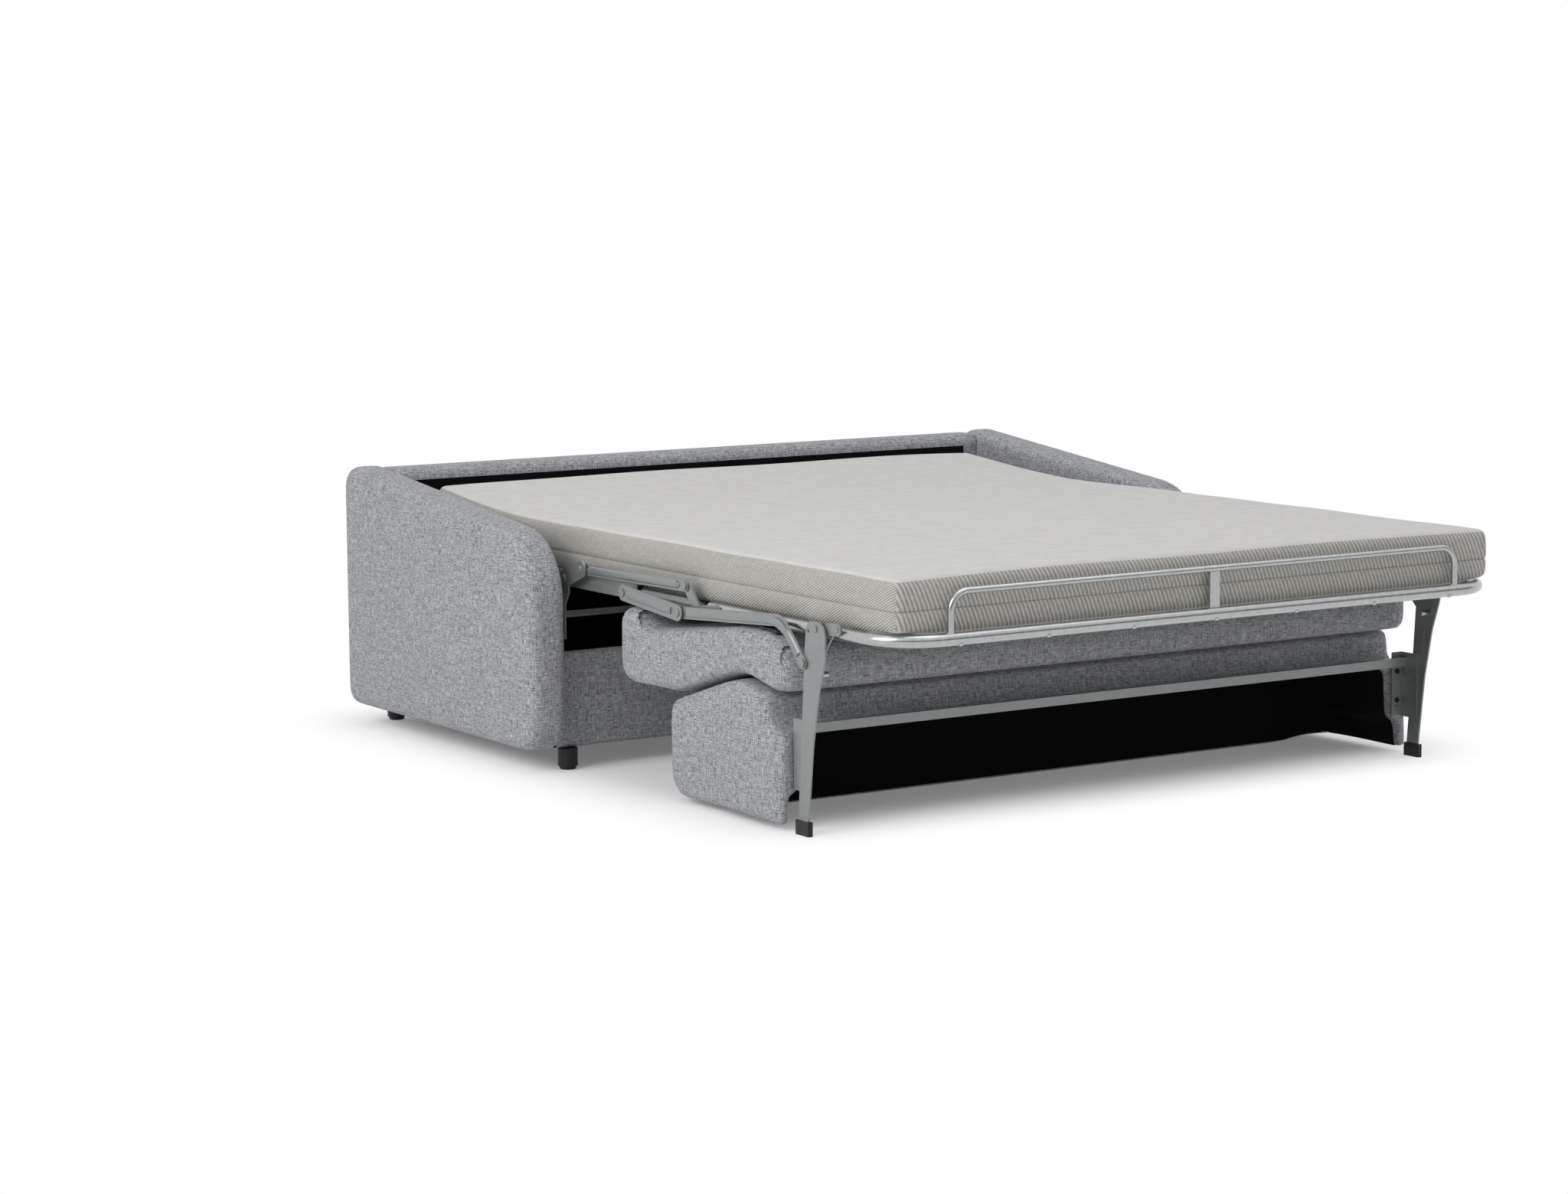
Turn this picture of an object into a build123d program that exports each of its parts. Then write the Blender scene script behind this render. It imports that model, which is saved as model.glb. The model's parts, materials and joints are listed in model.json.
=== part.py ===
from build123d import *
import os

# Sofa bed shown opened out: an upholstered base of two arms, a back and an apron, and a folding
# steel bed frame whose foot section carries the seat upside down and, on its legs, the backrest.
# Millimetres. X to the sitter's left, Y to the rear, Z up, origin on the floor under the middle.
# Depths are measured forward from the rear face, heights from the floor.

# Overall shell
BED_HALF = 800.0
ARM_CLEARANCE = 78.0
ARM_INNER = BED_HALF + ARM_CLEARANCE
ARM_THICK = 96.0
ARM_DEPTH = 955.0
BASE_BOTTOM = 49.0
ARM_REAR_TOP = 645.0
ARM_FRONT_TOP = 540.0
ARM_REAR_R = 50.0
ARM_NOSE_R = 170.0
ARM_TOE_R = 70.0
ARM_HEEL_R = 40.0
ARM_EDGE_R = 26.0
SHELL_GAP = 0.5
BACK_THICK = 100.0
BACK_TOP = 632.0
BACK_EDGE_R = 26.0
LINING_THICK = 4.0
LINING_TOP_DROP = 30.0
LINING_SIDE_GAP = 50.0
APRON_FRONT = 903.0
APRON_THICK = 25.0
APRON_TOP = 272.0
APRON_EDGE_R = 10.0
BOARD_THICK = 20.0
BOARD_TOP = 330.0
RAIL_BOARD_H = 70.0
RAIL_BOARD_W = 36.0
DUST_THICK = 5.0

# Sofa legs
SOFA_LEG_R = 23.0
SOFA_LEG_INSET = 28.0
SOFA_LEG_X = ARM_INNER - SOFA_LEG_INSET
SOFA_LEG_DEPTHS = (26.0, 895.0)
GLIDE_H = 8.0
GLIDE_R = 19.0

# Mattress
MATTRESS_HALF = BED_HALF
MATTRESS_BOTTOM = 435.0
MATTRESS_TOP = 555.0
MATTRESS_HEAD = 165.0
MATTRESS_RISE = 37.0
MATTRESS_RISE_START = 640.0
MATTRESS_EDGE_R = 14.0
MATTRESS_GAP = 0.4
MATTRESS_HEAD_END = 1038.0
MATTRESS_BEND_PAST = 34.0

# Pivots of the folding frame: depth and height
HEAD_PIVOT = (1158.0, 433.0)
MID_PIVOT = (1446.0, 420.0)
LEG_PIVOT = (1920.0, 435.0)
LEG_LINK_PIVOT = (1878.0, 360.0)
CHANNEL_END = (1391.0, 413.0)
UPPER_LINK_PIVOT = (1400.0, 472.0)
PLATE_BOLT = (884.0, 437.0)
PLATE_PIVOT = (958.0, 465.0)

# Tubes and bars of the bed frame
TUBE_R = 14.0
TUBE_WALL = 1.5
TUBE_OUTSET = 15.0
TUBE_X = BED_HALF + TUBE_OUTSET
TUBE_Z = 429.0
FOOT_OVERHANG = 248.0
FOOT_TUBE_DEPTH = LEG_PIVOT[0] + FOOT_OVERHANG
FOOT_CORNER_R = 120.0
FOOT_TUBE_START = 1474.0
MID_TUBE_R = 12.0
MID_TUBE_START = 1186.0
MID_TONGUE_THICK = 8.0
RAIL_W = 20.0
RAIL_H = 34.0
RAIL_WALL = 2.0
HEAD_RAIL_START = 180.0
CROSS_TUBE_R = 9.0
CROSS_TUBE_Z = 424.0
HEAD_CROSS_DEPTHS = (196.0, 640.0, 1100.0)
MID_CROSS_DEPTHS = (1216.0, 1392.0)
FOOT_CROSS_INSETS = (46.0, 208.0)
FOOT_CROSS_DEPTHS = (FOOT_TUBE_START + FOOT_CROSS_INSETS[0], FOOT_TUBE_DEPTH - FOOT_CROSS_INSETS[1])
WEB_THICK = 1.6
WEB_W = 60.0
WEB_TOP = 434.6
WEB_STEP = 115.0

# Layers across the width, from the tubes outwards
LAYER_GAP = 1.0
TAB_X = TUBE_X + TUBE_R
TAB_THICK = 5.0
UPPER_LINK_X = TAB_X + TAB_THICK + LAYER_GAP
LINK_THICK = 3.0
RIB_H = 3.0
LEG_X = UPPER_LINK_X + LINK_THICK
LEG_THICK = 4.0
PLATE_X = LEG_X + LEG_THICK
LEG_LINK_X = PLATE_X + LAYER_GAP
CHANNEL_X = LEG_LINK_X + LINK_THICK + RIB_H + SHELL_GAP
PLATE_THICK = 5.0
LINK_H = 26.0
CHANNEL_H = 36.0
PIN_R = 6.0
PIN_PLAY = 0.1
RIVET_R = 9.0
RIVET_H = 3.0
RIB_SHARE = 0.4
PLATE_TAIL = 92.0
PLATE_TAIL_H = 28.0
PLATE_BOSS_H = 40.0
PLATE_STRAP_W = 36.0
STEP_TOP = 405.0
STEP_LOW = 378.0
STRAP_LOW = 300.0
RAIL_BOLT_OFFS = (46.0, 86.0)
BASE_BAR_LOW = 345.0
BASE_BAR_H = 15.0
BASE_BAR_THICK = 4.0
MATTRESS_RISE_R = 400.0
MID_TUBE_GAP = 28.0
MID_SPACER_OFFS = (60.0, 120.0)
MID_WEB_DEPTHS = (1262.0, 1346.0)
FOOT_WEB_INSETS = (106.0, 158.0)
FOOT_WEB_DEPTHS = (FOOT_TUBE_START + FOOT_WEB_INSETS[0], FOOT_TUBE_DEPTH - FOOT_WEB_INSETS[1])
JOINT_PLATE_LAP = 46.0
JOINT_PLATE_H = 26.0
LUG_RIVET = (1987.0, 440.0)
LUG_H = 26.0
SEAT_CLIP_DEPTHS = (1691.0, 1758.0)
SEAT_CLIP_LOW = 398.0
SEAT_CLIP_GAP = 0.4
SEAT_CLIP_W = 32.0
SEAT_CLIP_XS = (TAB_X + LINK_THICK - SEAT_CLIP_W, TAB_X + LINK_THICK)
LEG_LINK_BEND = (1797.0, 440.0)
LEG_LINK_BEND_R = 50.0
LEG_LINK_RIB_SPAN = (0.07, 0.95)

# Mattress retainer at the foot
RETAINER_GAP = 20.0
MATTRESS_FOOT = FOOT_TUBE_DEPTH - RETAINER_GAP
RETAINER_R = 7.0
RETAINER_INSET = 120.0
RETAINER_X = BED_HALF - RETAINER_INSET
RETAINER_TOP = 532.0
RETAINER_BEND_R = 40.0
STRAP_W = 26.0
STRAP_THICK = 3.0

# Legs of the foot end
LEG_FOOT = 3.0
LEG_DEPTHS = (1850.0, 1886.0, 1908.0, 1930.0, 1954.0, 1956.0, 1886.0, 1876.0, 1866.0)
LEG_HEIGHTS = (LEG_FOOT, LEG_FOOT, 190.0, 300.0, 372.0, 450.0, 450.0, 340.0, 190.0)
LEG_RADII = (0.0, 0.0, 120.0, 160.0, 60.0, 28.0, 24.0, 120.0, 120.0)
LEG_SPARE_HOLE = (1895.0, 429.0)
LEG_SPARE_R = 4.0
EMBOSS_BACK = 20.0
EMBOSS_FROM = 245.0
EMBOSS_TO = 315.0
EMBOSS_TURN = -6.0
EMBOSS_W = 8.0
EMBOSS_H = 1.5
LEG_CAP_H = 30.0
LEG_CAP_WALL = 4.0
LEG_CAP_FLARE = 6.0
BRACKET_LOW = 90.0
BRACKET_HIGH = 240.0
BRACKET_W = 30.0
BRACKET_IN = LEG_X - BRACKET_W
BRACKET_THICK = 3.0
BRACKET_FRONT = 1886.0
KEYHOLE_R = 6.0
KEYHOLE_RUN = 12.0
CATCH_THICK = 2.0
CATCH_MIDDLE = (1948.0, 385.0)
CATCH_TIP = (1982.0, 428.0)
CATCH_GAPS = (0.8, 0.4)
CATCH_XS = (UPPER_LINK_X + CATCH_GAPS[0], LEG_X - CATCH_GAPS[1])
BRACKET_HOLE_ZS = (116.0, 183.0)
CROSS_BAR_Z = (208.0, 228.0)
CROSS_BAR_THICK = 15.0
LEG_ROD = (1921.0, 340.0)
LEG_ROD_R = 6.0

# Seat and backrest
SEAT_DEPTHS = (1142.0, 1385.0, 1652.0, 1765.0, 1836.0, 1836.0, 1795.0, 1725.0, 1630.0, 1255.0, 1230.0, 1142.0)
SEAT_HEIGHTS = (229.0, 232.0, 313.0, 284.0, 283.0, 380.0, 398.0, 411.0, 411.0, 364.0, 406.0, 406.0)
SEAT_RADII = (48.0, 120.0, 110.0, 80.0, 28.0, 30.0, 60.0, 150.0, 150.0, 24.0, 16.0, 32.0)
SEAT_CLEARANCE = 16.0
SEAT_HALF = ARM_INNER - SEAT_CLEARANCE
SEAT_EDGE_R = 22.0
BACKREST_CLEARANCE = 12.0
BACKREST_HALF = ARM_INNER - BACKREST_CLEARANCE
BACKREST_FOOT = 1830.0
BACKREST_LOW = 3.0
BACKREST_DEPTHS = (1367.0, BACKREST_FOOT, BACKREST_FOOT, 1770.0, 1770.0, 1652.0, 1367.0)
BACKREST_HEIGHTS = (BACKREST_LOW, BACKREST_LOW, 215.0, 215.0, 279.0, 310.0, 221.0)
BACKREST_RADII = (60.0, 6.0, 8.0, 12.0, 18.0, 100.0, 45.0)
BACKREST_EDGE_R = 18.0
END_PANEL_THICK = 28.0
END_PANEL_TOP = 76.0
CAVITY_HEAD = 1573.0
CAVITY_TOP = 197.0
CAVITY_WALL = 58.0
CAVITY_HALF = BACKREST_HALF - CAVITY_WALL
CAVITY_LINING = 3.0

OVERALL_LENGTH = FOOT_TUBE_DEPTH + TUBE_R
REAR_Y = OVERALL_LENGTH / 2


def across(depth, height, x=0.0):
    """Point at a depth forward of the rear face, a height and an x."""
    return Vector(x, REAR_Y - depth, height)


def side_plane(x):
    """Plane at x whose own x runs forward in depth and whose own y runs up."""
    return Plane(origin=(x, REAR_Y, 0), x_dir=(0, -1, 0), z_dir=(-1, 0, 0))


def side_slab(face, x_low, x_high):
    """Extrude a face drawn in depth and height between two x planes."""
    return extrude(side_plane(x_high) * face, x_high - x_low)


def rounded(points, radii):
    """Closed outline through corner points, each with its own corner radius."""
    face = Polygon(*points, align=None)
    for point, radius in zip(points, radii):
        if radius > 0:
            corner = face.vertices().sort_by_distance((point[0], point[1], 0))[0]
            face = fillet(corner, radius)
    return face


def bar_between(start, end, height):
    """Round-ended bar outline between two pivots."""
    a, b = Vector(*start), Vector(*end)
    run = b - a
    middle = (a + b) / 2
    turn = Vector(1, 0).get_signed_angle(run, Vector(0, 0, 1))
    return Pos(middle.X, middle.Y) * Rot(0, 0, turn) * SlotCenterToCenter(run.length, height)


def hole_at(pivot, radius=PIN_R + PIN_PLAY):
    """Round hole outline at a pivot."""
    return Pos(*pivot) * Circle(radius)


def cylinder_x(pivot, radius, x_low, x_high):
    """Solid cylinder along X at a pivot, from one x to the other."""
    return side_slab(Pos(*pivot) * Circle(radius), x_low, x_high)


def depth_box(depths, heights, xs):
    """Box between two depths, two heights and two x values."""
    size = (xs[1] - xs[0], depths[1] - depths[0], heights[1] - heights[0])
    middle = across(sum(depths) / 2, sum(heights) / 2, sum(xs) / 2)
    return Pos(*middle) * Box(*size)


def left(solid):
    """The same piece on the other side of the bed."""
    return mirror(solid, Plane.YZ)


def both(solid):
    """A piece and its mirror image, as one group."""
    return Compound(children=[*solid.solids(), *left(solid).solids()])


def group(pieces):
    """Several separate solids as one group."""
    return Compound(children=[solid for piece in pieces for solid in piece.solids()])


def soften(solid, radius):
    """Round every edge of an upholstered piece."""
    return fillet(solid.edges(), radius)


# Upholstered base


def arm():
    """Side arm: a padded panel, high at the rear, with a large rounded nose."""
    outline = rounded(
        [(0, BASE_BOTTOM), (ARM_DEPTH, BASE_BOTTOM), (ARM_DEPTH, ARM_FRONT_TOP), (0, ARM_REAR_TOP)],
        [ARM_HEEL_R, ARM_TOE_R, ARM_NOSE_R, ARM_REAR_R],
    )
    return soften(side_slab(outline, ARM_INNER, ARM_INNER + ARM_THICK), ARM_EDGE_R)


def back_panel():
    """Fixed back between the arms, rounded along its top."""
    half = ARM_INNER - SHELL_GAP
    panel = depth_box((0, BACK_THICK), (BASE_BOTTOM, BACK_TOP), (-half, half))
    top_edges = panel.edges().filter_by(Axis.X).group_by(Axis.Z)[-1]
    return fillet(top_edges, BACK_EDGE_R)


def back_lining():
    """Black lining on the front of the back, inside the upholstered border."""
    half = ARM_INNER - LINING_SIDE_GAP
    depths = (BACK_THICK, BACK_THICK + LINING_THICK)
    return depth_box(depths, (BASE_BOTTOM + RAIL_BOARD_H, BACK_TOP - LINING_TOP_DROP), (-half, half))


def front_apron():
    """Low upholstered front of the base."""
    half = ARM_INNER - SHELL_GAP
    depths = (APRON_FRONT - APRON_THICK, APRON_FRONT)
    apron = depth_box(depths, (BASE_BOTTOM, APRON_TOP), (-half, half))
    return fillet(apron.edges().filter_by(Axis.X), APRON_EDGE_R)


def side_board():
    """Lined board inside an arm, which carries the hinge plate."""
    xs = (ARM_INNER - SHELL_GAP - BOARD_THICK, ARM_INNER - SHELL_GAP)
    depths = (BACK_THICK, APRON_FRONT - APRON_THICK)
    return depth_box(depths, (BASE_BOTTOM + DUST_THICK, BOARD_TOP), xs)


def rear_rail():
    """Timber rail along the bottom of the back."""
    half = ARM_INNER - SHELL_GAP - BOARD_THICK
    heights = (BASE_BOTTOM + DUST_THICK, BASE_BOTTOM + RAIL_BOARD_H)
    return depth_box((BACK_THICK, BACK_THICK + RAIL_BOARD_W), heights, (-half, half))


def front_rail():
    """Timber rail along the bottom of the apron."""
    half = ARM_INNER - SHELL_GAP - BOARD_THICK
    heights = (BASE_BOTTOM + DUST_THICK, BASE_BOTTOM + RAIL_BOARD_H)
    rear = APRON_FRONT - APRON_THICK - RAIL_BOARD_W
    return depth_box((rear, APRON_FRONT - APRON_THICK), heights, (-half, half))


def dust_cover():
    """Thin black sheet that closes the underside of the base."""
    half = ARM_INNER - SHELL_GAP
    depths = (BACK_THICK, APRON_FRONT - APRON_THICK)
    return depth_box(depths, (BASE_BOTTOM, BASE_BOTTOM + DUST_THICK), (-half, half))


def sofa_legs():
    """Four short turned legs under the corners of the base."""
    height = BASE_BOTTOM - GLIDE_H
    legs = []
    for depth in SOFA_LEG_DEPTHS:
        leg = Pos(*across(depth, GLIDE_H + height / 2, SOFA_LEG_X)) * Cylinder(SOFA_LEG_R, height)
        legs.append(both(leg))
    return group(legs)


def glides():
    """Plastic glides under the four legs."""
    pads = []
    for depth in SOFA_LEG_DEPTHS:
        pad = Pos(*across(depth, GLIDE_H / 2, SOFA_LEG_X)) * Cylinder(GLIDE_R, GLIDE_H)
        lower_edge = pad.edges().sort_by(Axis.Z)[0]
        pads.append(both(chamfer(lower_edge, GLIDE_H / 4)))
    return group(pads)


# Fixed head end of the bed frame


def front_plane(depth):
    """Plane at a depth whose own x is world x and whose own y runs up, facing forward."""
    return Plane(origin=(0, REAR_Y - depth, 0), x_dir=(1, 0, 0), z_dir=(0, -1, 0))


def hinge_plate():
    """Pressed plate at the front of the base, with a strap that steps out to the side board."""
    rear_end = (PLATE_BOLT[0] - PLATE_TAIL, PLATE_BOLT[1])
    face = bar_between(rear_end, PLATE_BOLT, PLATE_TAIL_H) + bar_between(PLATE_BOLT, PLATE_PIVOT, PLATE_BOSS_H)
    plate = side_slab(face, PLATE_X, PLATE_X + PLATE_THICK)
    board_x = ARM_INNER - SHELL_GAP - BOARD_THICK
    outer = board_x - PLATE_THICK
    strap = Polygon(
        (PLATE_X, PLATE_BOLT[1]), (PLATE_X, STEP_TOP), (outer, STEP_LOW), (outer, STRAP_LOW),
        (board_x, STRAP_LOW), (board_x, STEP_LOW), (PLATE_X + PLATE_THICK, STEP_TOP),
        (PLATE_X + PLATE_THICK, PLATE_BOLT[1]), align=None,
    )
    rear = PLATE_BOLT[0] - PLATE_STRAP_W / 2
    return plate + extrude(front_plane(rear) * strap, PLATE_STRAP_W)


def plate_rivets():
    """Rivet heads on the outside of the hinge plates."""
    outside = PLATE_X + PLATE_THICK
    heads = [cylinder_x(p, RIVET_R, outside, outside + RIVET_H) for p in (PLATE_BOLT, PLATE_PIVOT)]
    return both(group([fillet(h.edges().sort_by(Axis.X)[-1], RIVET_H / 2) for h in heads]))


def rail_bolts():
    """Spacer bolts that carry each head rail on the tail of its hinge plate."""
    bolts = []
    for back_off in RAIL_BOLT_OFFS:
        place = (PLATE_BOLT[0] - back_off, PLATE_BOLT[1])
        bolts.append(cylinder_x(place, PIN_R, TUBE_X + RAIL_W / 2, PLATE_X))
    return both(group(bolts))


def base_cross_bar():
    """Flat bar that ties the straps of the two hinge plates."""
    half = ARM_INNER - SHELL_GAP - BOARD_THICK - PLATE_THICK
    depths = (PLATE_BOLT[0] - PLATE_STRAP_W / 2, PLATE_BOLT[0] - PLATE_STRAP_W / 2 + BASE_BAR_THICK)
    return depth_box(depths, (BASE_BAR_LOW, BASE_BAR_LOW + BASE_BAR_H), (-half, half))


def head_rail():
    """Rectangular tube along the head section, pierced at its front end for the fold pin."""
    xs = (TUBE_X - RAIL_W / 2, TUBE_X + RAIL_W / 2)
    end = HEAD_PIVOT[0] + RAIL_H / 2
    heights = (HEAD_PIVOT[1] - RAIL_H / 2, HEAD_PIVOT[1] + RAIL_H / 2)
    rail = depth_box((HEAD_RAIL_START, end), heights, xs)
    bore_xs = (xs[0] + RAIL_WALL, xs[1] - RAIL_WALL)
    bore = depth_box((HEAD_RAIL_START - 1, end + 1), (heights[0] + RAIL_WALL, heights[1] - RAIL_WALL), bore_xs)
    pin_hole = cylinder_x(HEAD_PIVOT, PIN_R + PIN_PLAY, xs[0] - 1, xs[1] + 1)
    return rail - bore - pin_hole


def cross_tubes(depths, side_x):
    """Round tubes across the bed between the flat inner faces of its two sides."""
    return group([cylinder_x((depth, CROSS_TUBE_Z), CROSS_TUBE_R, -side_x, side_x) for depth in depths])


def saddled_tubes(depths, side_r):
    """Round tubes across the bed, their ends cut to seat on round side tubes."""
    run = Plane(origin=across(0, TUBE_Z, TUBE_X), x_dir=(1, 0, 0), z_dir=(0, -1, 0))
    side = extrude(run * Circle(side_r), OVERALL_LENGTH)
    tubes = []
    for depth in depths:
        tube = cylinder_x((depth, CROSS_TUBE_Z), CROSS_TUBE_R, -TUBE_X, TUBE_X) - side - left(side)
        tubes.append(tube.solids().sort_by(SortBy.VOLUME)[-1])
    return group(tubes)


def webbing(first, last, side_x):
    """Elastic straps across the bed, evenly spaced between two depths."""
    count = max(2, round((last - first) / WEB_STEP) + 1)
    step = (last - first) / (count - 1)
    straps = []
    for index in range(count):
        middle = first + index * step
        depths = (middle - WEB_W / 2, middle + WEB_W / 2)
        straps.append(depth_box(depths, (WEB_TOP - WEB_THICK, WEB_TOP), (-side_x, side_x)))
    return group(straps)


# Mattress


def side_edges(solid, half, cut_depths=()):
    """Edges of the two end faces at plus and minus half, apart from those on a cut face."""
    edges = [e for e in solid.edges() if abs(abs(e.center().X) - half) < 0.01]
    cuts = [REAR_Y - depth for depth in cut_depths]
    return [e for e in edges if all(abs(e.center().Y - cut) > 0.01 for cut in cuts)]


def mattress_slab(points, radii, cut_depths):
    """Stretch of the mattress, with soft edges except where it meets the next stretch."""
    slab = side_slab(rounded(points, radii), -MATTRESS_HALF, MATTRESS_HALF)
    return fillet(side_edges(slab, MATTRESS_HALF, cut_depths), MATTRESS_EDGE_R)


def mattress_head():
    """Head stretch, which rises towards the back of the sofa."""
    end = MATTRESS_HEAD_END - MATTRESS_GAP
    return mattress_slab(
        [(MATTRESS_HEAD, MATTRESS_BOTTOM), (end, MATTRESS_BOTTOM), (end, MATTRESS_TOP),
         (MATTRESS_RISE_START, MATTRESS_TOP), (MATTRESS_HEAD, MATTRESS_TOP + MATTRESS_RISE)],
        [MATTRESS_EDGE_R, 0, 0, MATTRESS_RISE_R, MATTRESS_EDGE_R], (end,),
    )


def mattress_bend():
    """Middle stretch, which bends as the bed folds."""
    ends = (MATTRESS_HEAD_END, MID_PIVOT[0] + MATTRESS_BEND_PAST - MATTRESS_GAP)
    corners = [(ends[0], MATTRESS_BOTTOM), (ends[1], MATTRESS_BOTTOM), (ends[1], MATTRESS_TOP),
               (ends[0], MATTRESS_TOP)]
    return mattress_slab(corners, [0, 0, 0, 0], ends)


def mattress_foot():
    """Foot stretch, held at its end by the retainer."""
    start = MID_PIVOT[0] + MATTRESS_BEND_PAST
    corners = [(start, MATTRESS_BOTTOM), (MATTRESS_FOOT, MATTRESS_BOTTOM), (MATTRESS_FOOT, MATTRESS_TOP),
               (start, MATTRESS_TOP)]
    slab = mattress_slab(corners, [0, MATTRESS_EDGE_R, MATTRESS_EDGE_R, 0], (start,))
    return slab - swept_rod(foot_path(), TUBE_R + MATTRESS_GAP)


# Folding middle section


def fold_pins():
    """Pins and bushes that hinge the middle section on the head rails."""
    outer = CHANNEL_X + LINK_THICK
    pin = cylinder_x(HEAD_PIVOT, PIN_R, TUBE_X - RAIL_W / 2 - RIVET_H, outer)
    bush = cylinder_x(HEAD_PIVOT, RIVET_R, TUBE_X + RAIL_W / 2, CHANNEL_X - SHELL_GAP)
    head = cylinder_x(HEAD_PIVOT, RIVET_R, outer + SHELL_GAP, outer + SHELL_GAP + RIVET_H)
    neck = cylinder_x(HEAD_PIVOT, PIN_R, outer, outer + SHELL_GAP)
    return both(pin + bush + neck + head)


def ribbed_bar(start, end, height, x):
    """Pressed flat bar between two pivots, with a raised rib along its middle."""
    bar = side_slab(bar_between(start, end, height), x, x + LINK_THICK)
    run = Vector(*end) - Vector(*start)
    inset = run.normalized() * height
    rib_ends = (Vector(*start) + inset, Vector(*end) - inset)
    rib_face = bar_between((rib_ends[0].X, rib_ends[0].Y), (rib_ends[1].X, rib_ends[1].Y), height * RIB_SHARE)
    rib = side_slab(rib_face, x + LINK_THICK, x + LINK_THICK + RIB_H)
    return bar + fillet(rib.faces().sort_by(Axis.X)[-1].edges(), RIB_H / 2)


def mid_channel():
    """Outer pressed channel of the middle section."""
    channel = ribbed_bar(HEAD_PIVOT, CHANNEL_END, CHANNEL_H, CHANNEL_X)
    return channel - cylinder_x(HEAD_PIVOT, PIN_R + PIN_PLAY, CHANNEL_X - 1, CHANNEL_X + CHANNEL_H)


def channel_rivets():
    """Rivet heads at the front ends of the channels."""
    outer = CHANNEL_X + LINK_THICK
    head = cylinder_x(CHANNEL_END, RIVET_R, outer, outer + RIVET_H)
    return both(fillet(head.edges().sort_by(Axis.X)[-1], RIVET_H / 2))


def mid_tube():
    """Inner tube of the middle section, flattened at its front end into a hinge tongue."""
    end = MID_PIVOT[0] - MID_TUBE_GAP
    tube = extrude(front_plane(MID_TUBE_START) * Pos(TUBE_X, TUBE_Z) * Circle(MID_TUBE_R), end - MID_TUBE_START)
    tongue_x = (TUBE_X - MID_TONGUE_THICK / 2, TUBE_X + MID_TONGUE_THICK / 2)
    root = (end - MID_TUBE_R, TUBE_Z)
    tongue = side_slab(bar_between(root, MID_PIVOT, 2 * MID_TUBE_R - 2) - hole_at(MID_PIVOT), *tongue_x)
    return tube + tongue


def mid_spacers():
    """Spacers that carry each channel on the middle section's tube."""
    run = Vector(*CHANNEL_END) - Vector(*HEAD_PIVOT)
    spacers = []
    for distance in MID_SPACER_OFFS:
        place = Vector(*HEAD_PIVOT) + run.normalized() * distance
        spacer = cylinder_x((place.X, place.Y), RIVET_R - 1, TUBE_X, CHANNEL_X)
        spacers.append((spacer - mid_tube()).solids().sort_by(Axis.X)[-1])
    return both(group(spacers))


# Foot section


def foot_path():
    """Centre line of the bent tube round the foot of the bed."""
    corners = [across(FOOT_TUBE_START, TUBE_Z, -TUBE_X), across(FOOT_TUBE_DEPTH, TUBE_Z, -TUBE_X),
               across(FOOT_TUBE_DEPTH, TUBE_Z, TUBE_X), across(FOOT_TUBE_START, TUBE_Z, TUBE_X)]
    return FilletPolyline(*corners, radius=FOOT_CORNER_R)


def swept_rod(path, radius):
    """Round rod along a path of straight runs and arcs."""
    start = Plane(origin=path @ 0, z_dir=path % 0)
    return sweep(start * Circle(radius), path=path)


def foot_tube():
    """Bent steel tube round the foot of the bed, open at its two rear ends."""
    path = foot_path()
    return swept_rod(path, TUBE_R) - swept_rod(path, TUBE_R - TUBE_WALL)


def joint_plate():
    """Plate on the rear end of the foot tube, with the fold pivot and the tab for the upper link."""
    tube_end = (FOOT_TUBE_START + JOINT_PLATE_LAP, TUBE_Z)
    face = bar_between(MID_PIVOT, tube_end, JOINT_PLATE_H) + bar_between(MID_PIVOT, UPPER_LINK_PIVOT, JOINT_PLATE_H)
    face = face - hole_at(MID_PIVOT) - hole_at(UPPER_LINK_PIVOT)
    return side_slab(face, TAB_X, TAB_X + TAB_THICK)


def joint_pins():
    """Pins that hinge the foot section on the middle section, with their inner bushes."""
    inner = TUBE_X - MID_TONGUE_THICK / 2
    outer = TAB_X + TAB_THICK
    pin = cylinder_x(MID_PIVOT, PIN_R, inner - RIVET_H - SHELL_GAP, outer)
    bush = cylinder_x(MID_PIVOT, RIVET_R, TUBE_X + MID_TONGUE_THICK / 2 + SHELL_GAP, TAB_X)
    head = cylinder_x(MID_PIVOT, RIVET_R, inner - RIVET_H - SHELL_GAP, inner - SHELL_GAP)
    return both(pin + bush + head)


def upper_link_pins():
    """Pins of the upper links on the tabs of the foot section."""
    outer = UPPER_LINK_X + LINK_THICK
    pin = cylinder_x(UPPER_LINK_PIVOT, PIN_R, TAB_X, outer + SHELL_GAP)
    washer = cylinder_x(UPPER_LINK_PIVOT, RIVET_R, TAB_X + TAB_THICK, UPPER_LINK_X - SHELL_GAP)
    head = cylinder_x(UPPER_LINK_PIVOT, RIVET_R, outer + SHELL_GAP, outer + SHELL_GAP + RIVET_H)
    return both(pin + washer + head)


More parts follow.
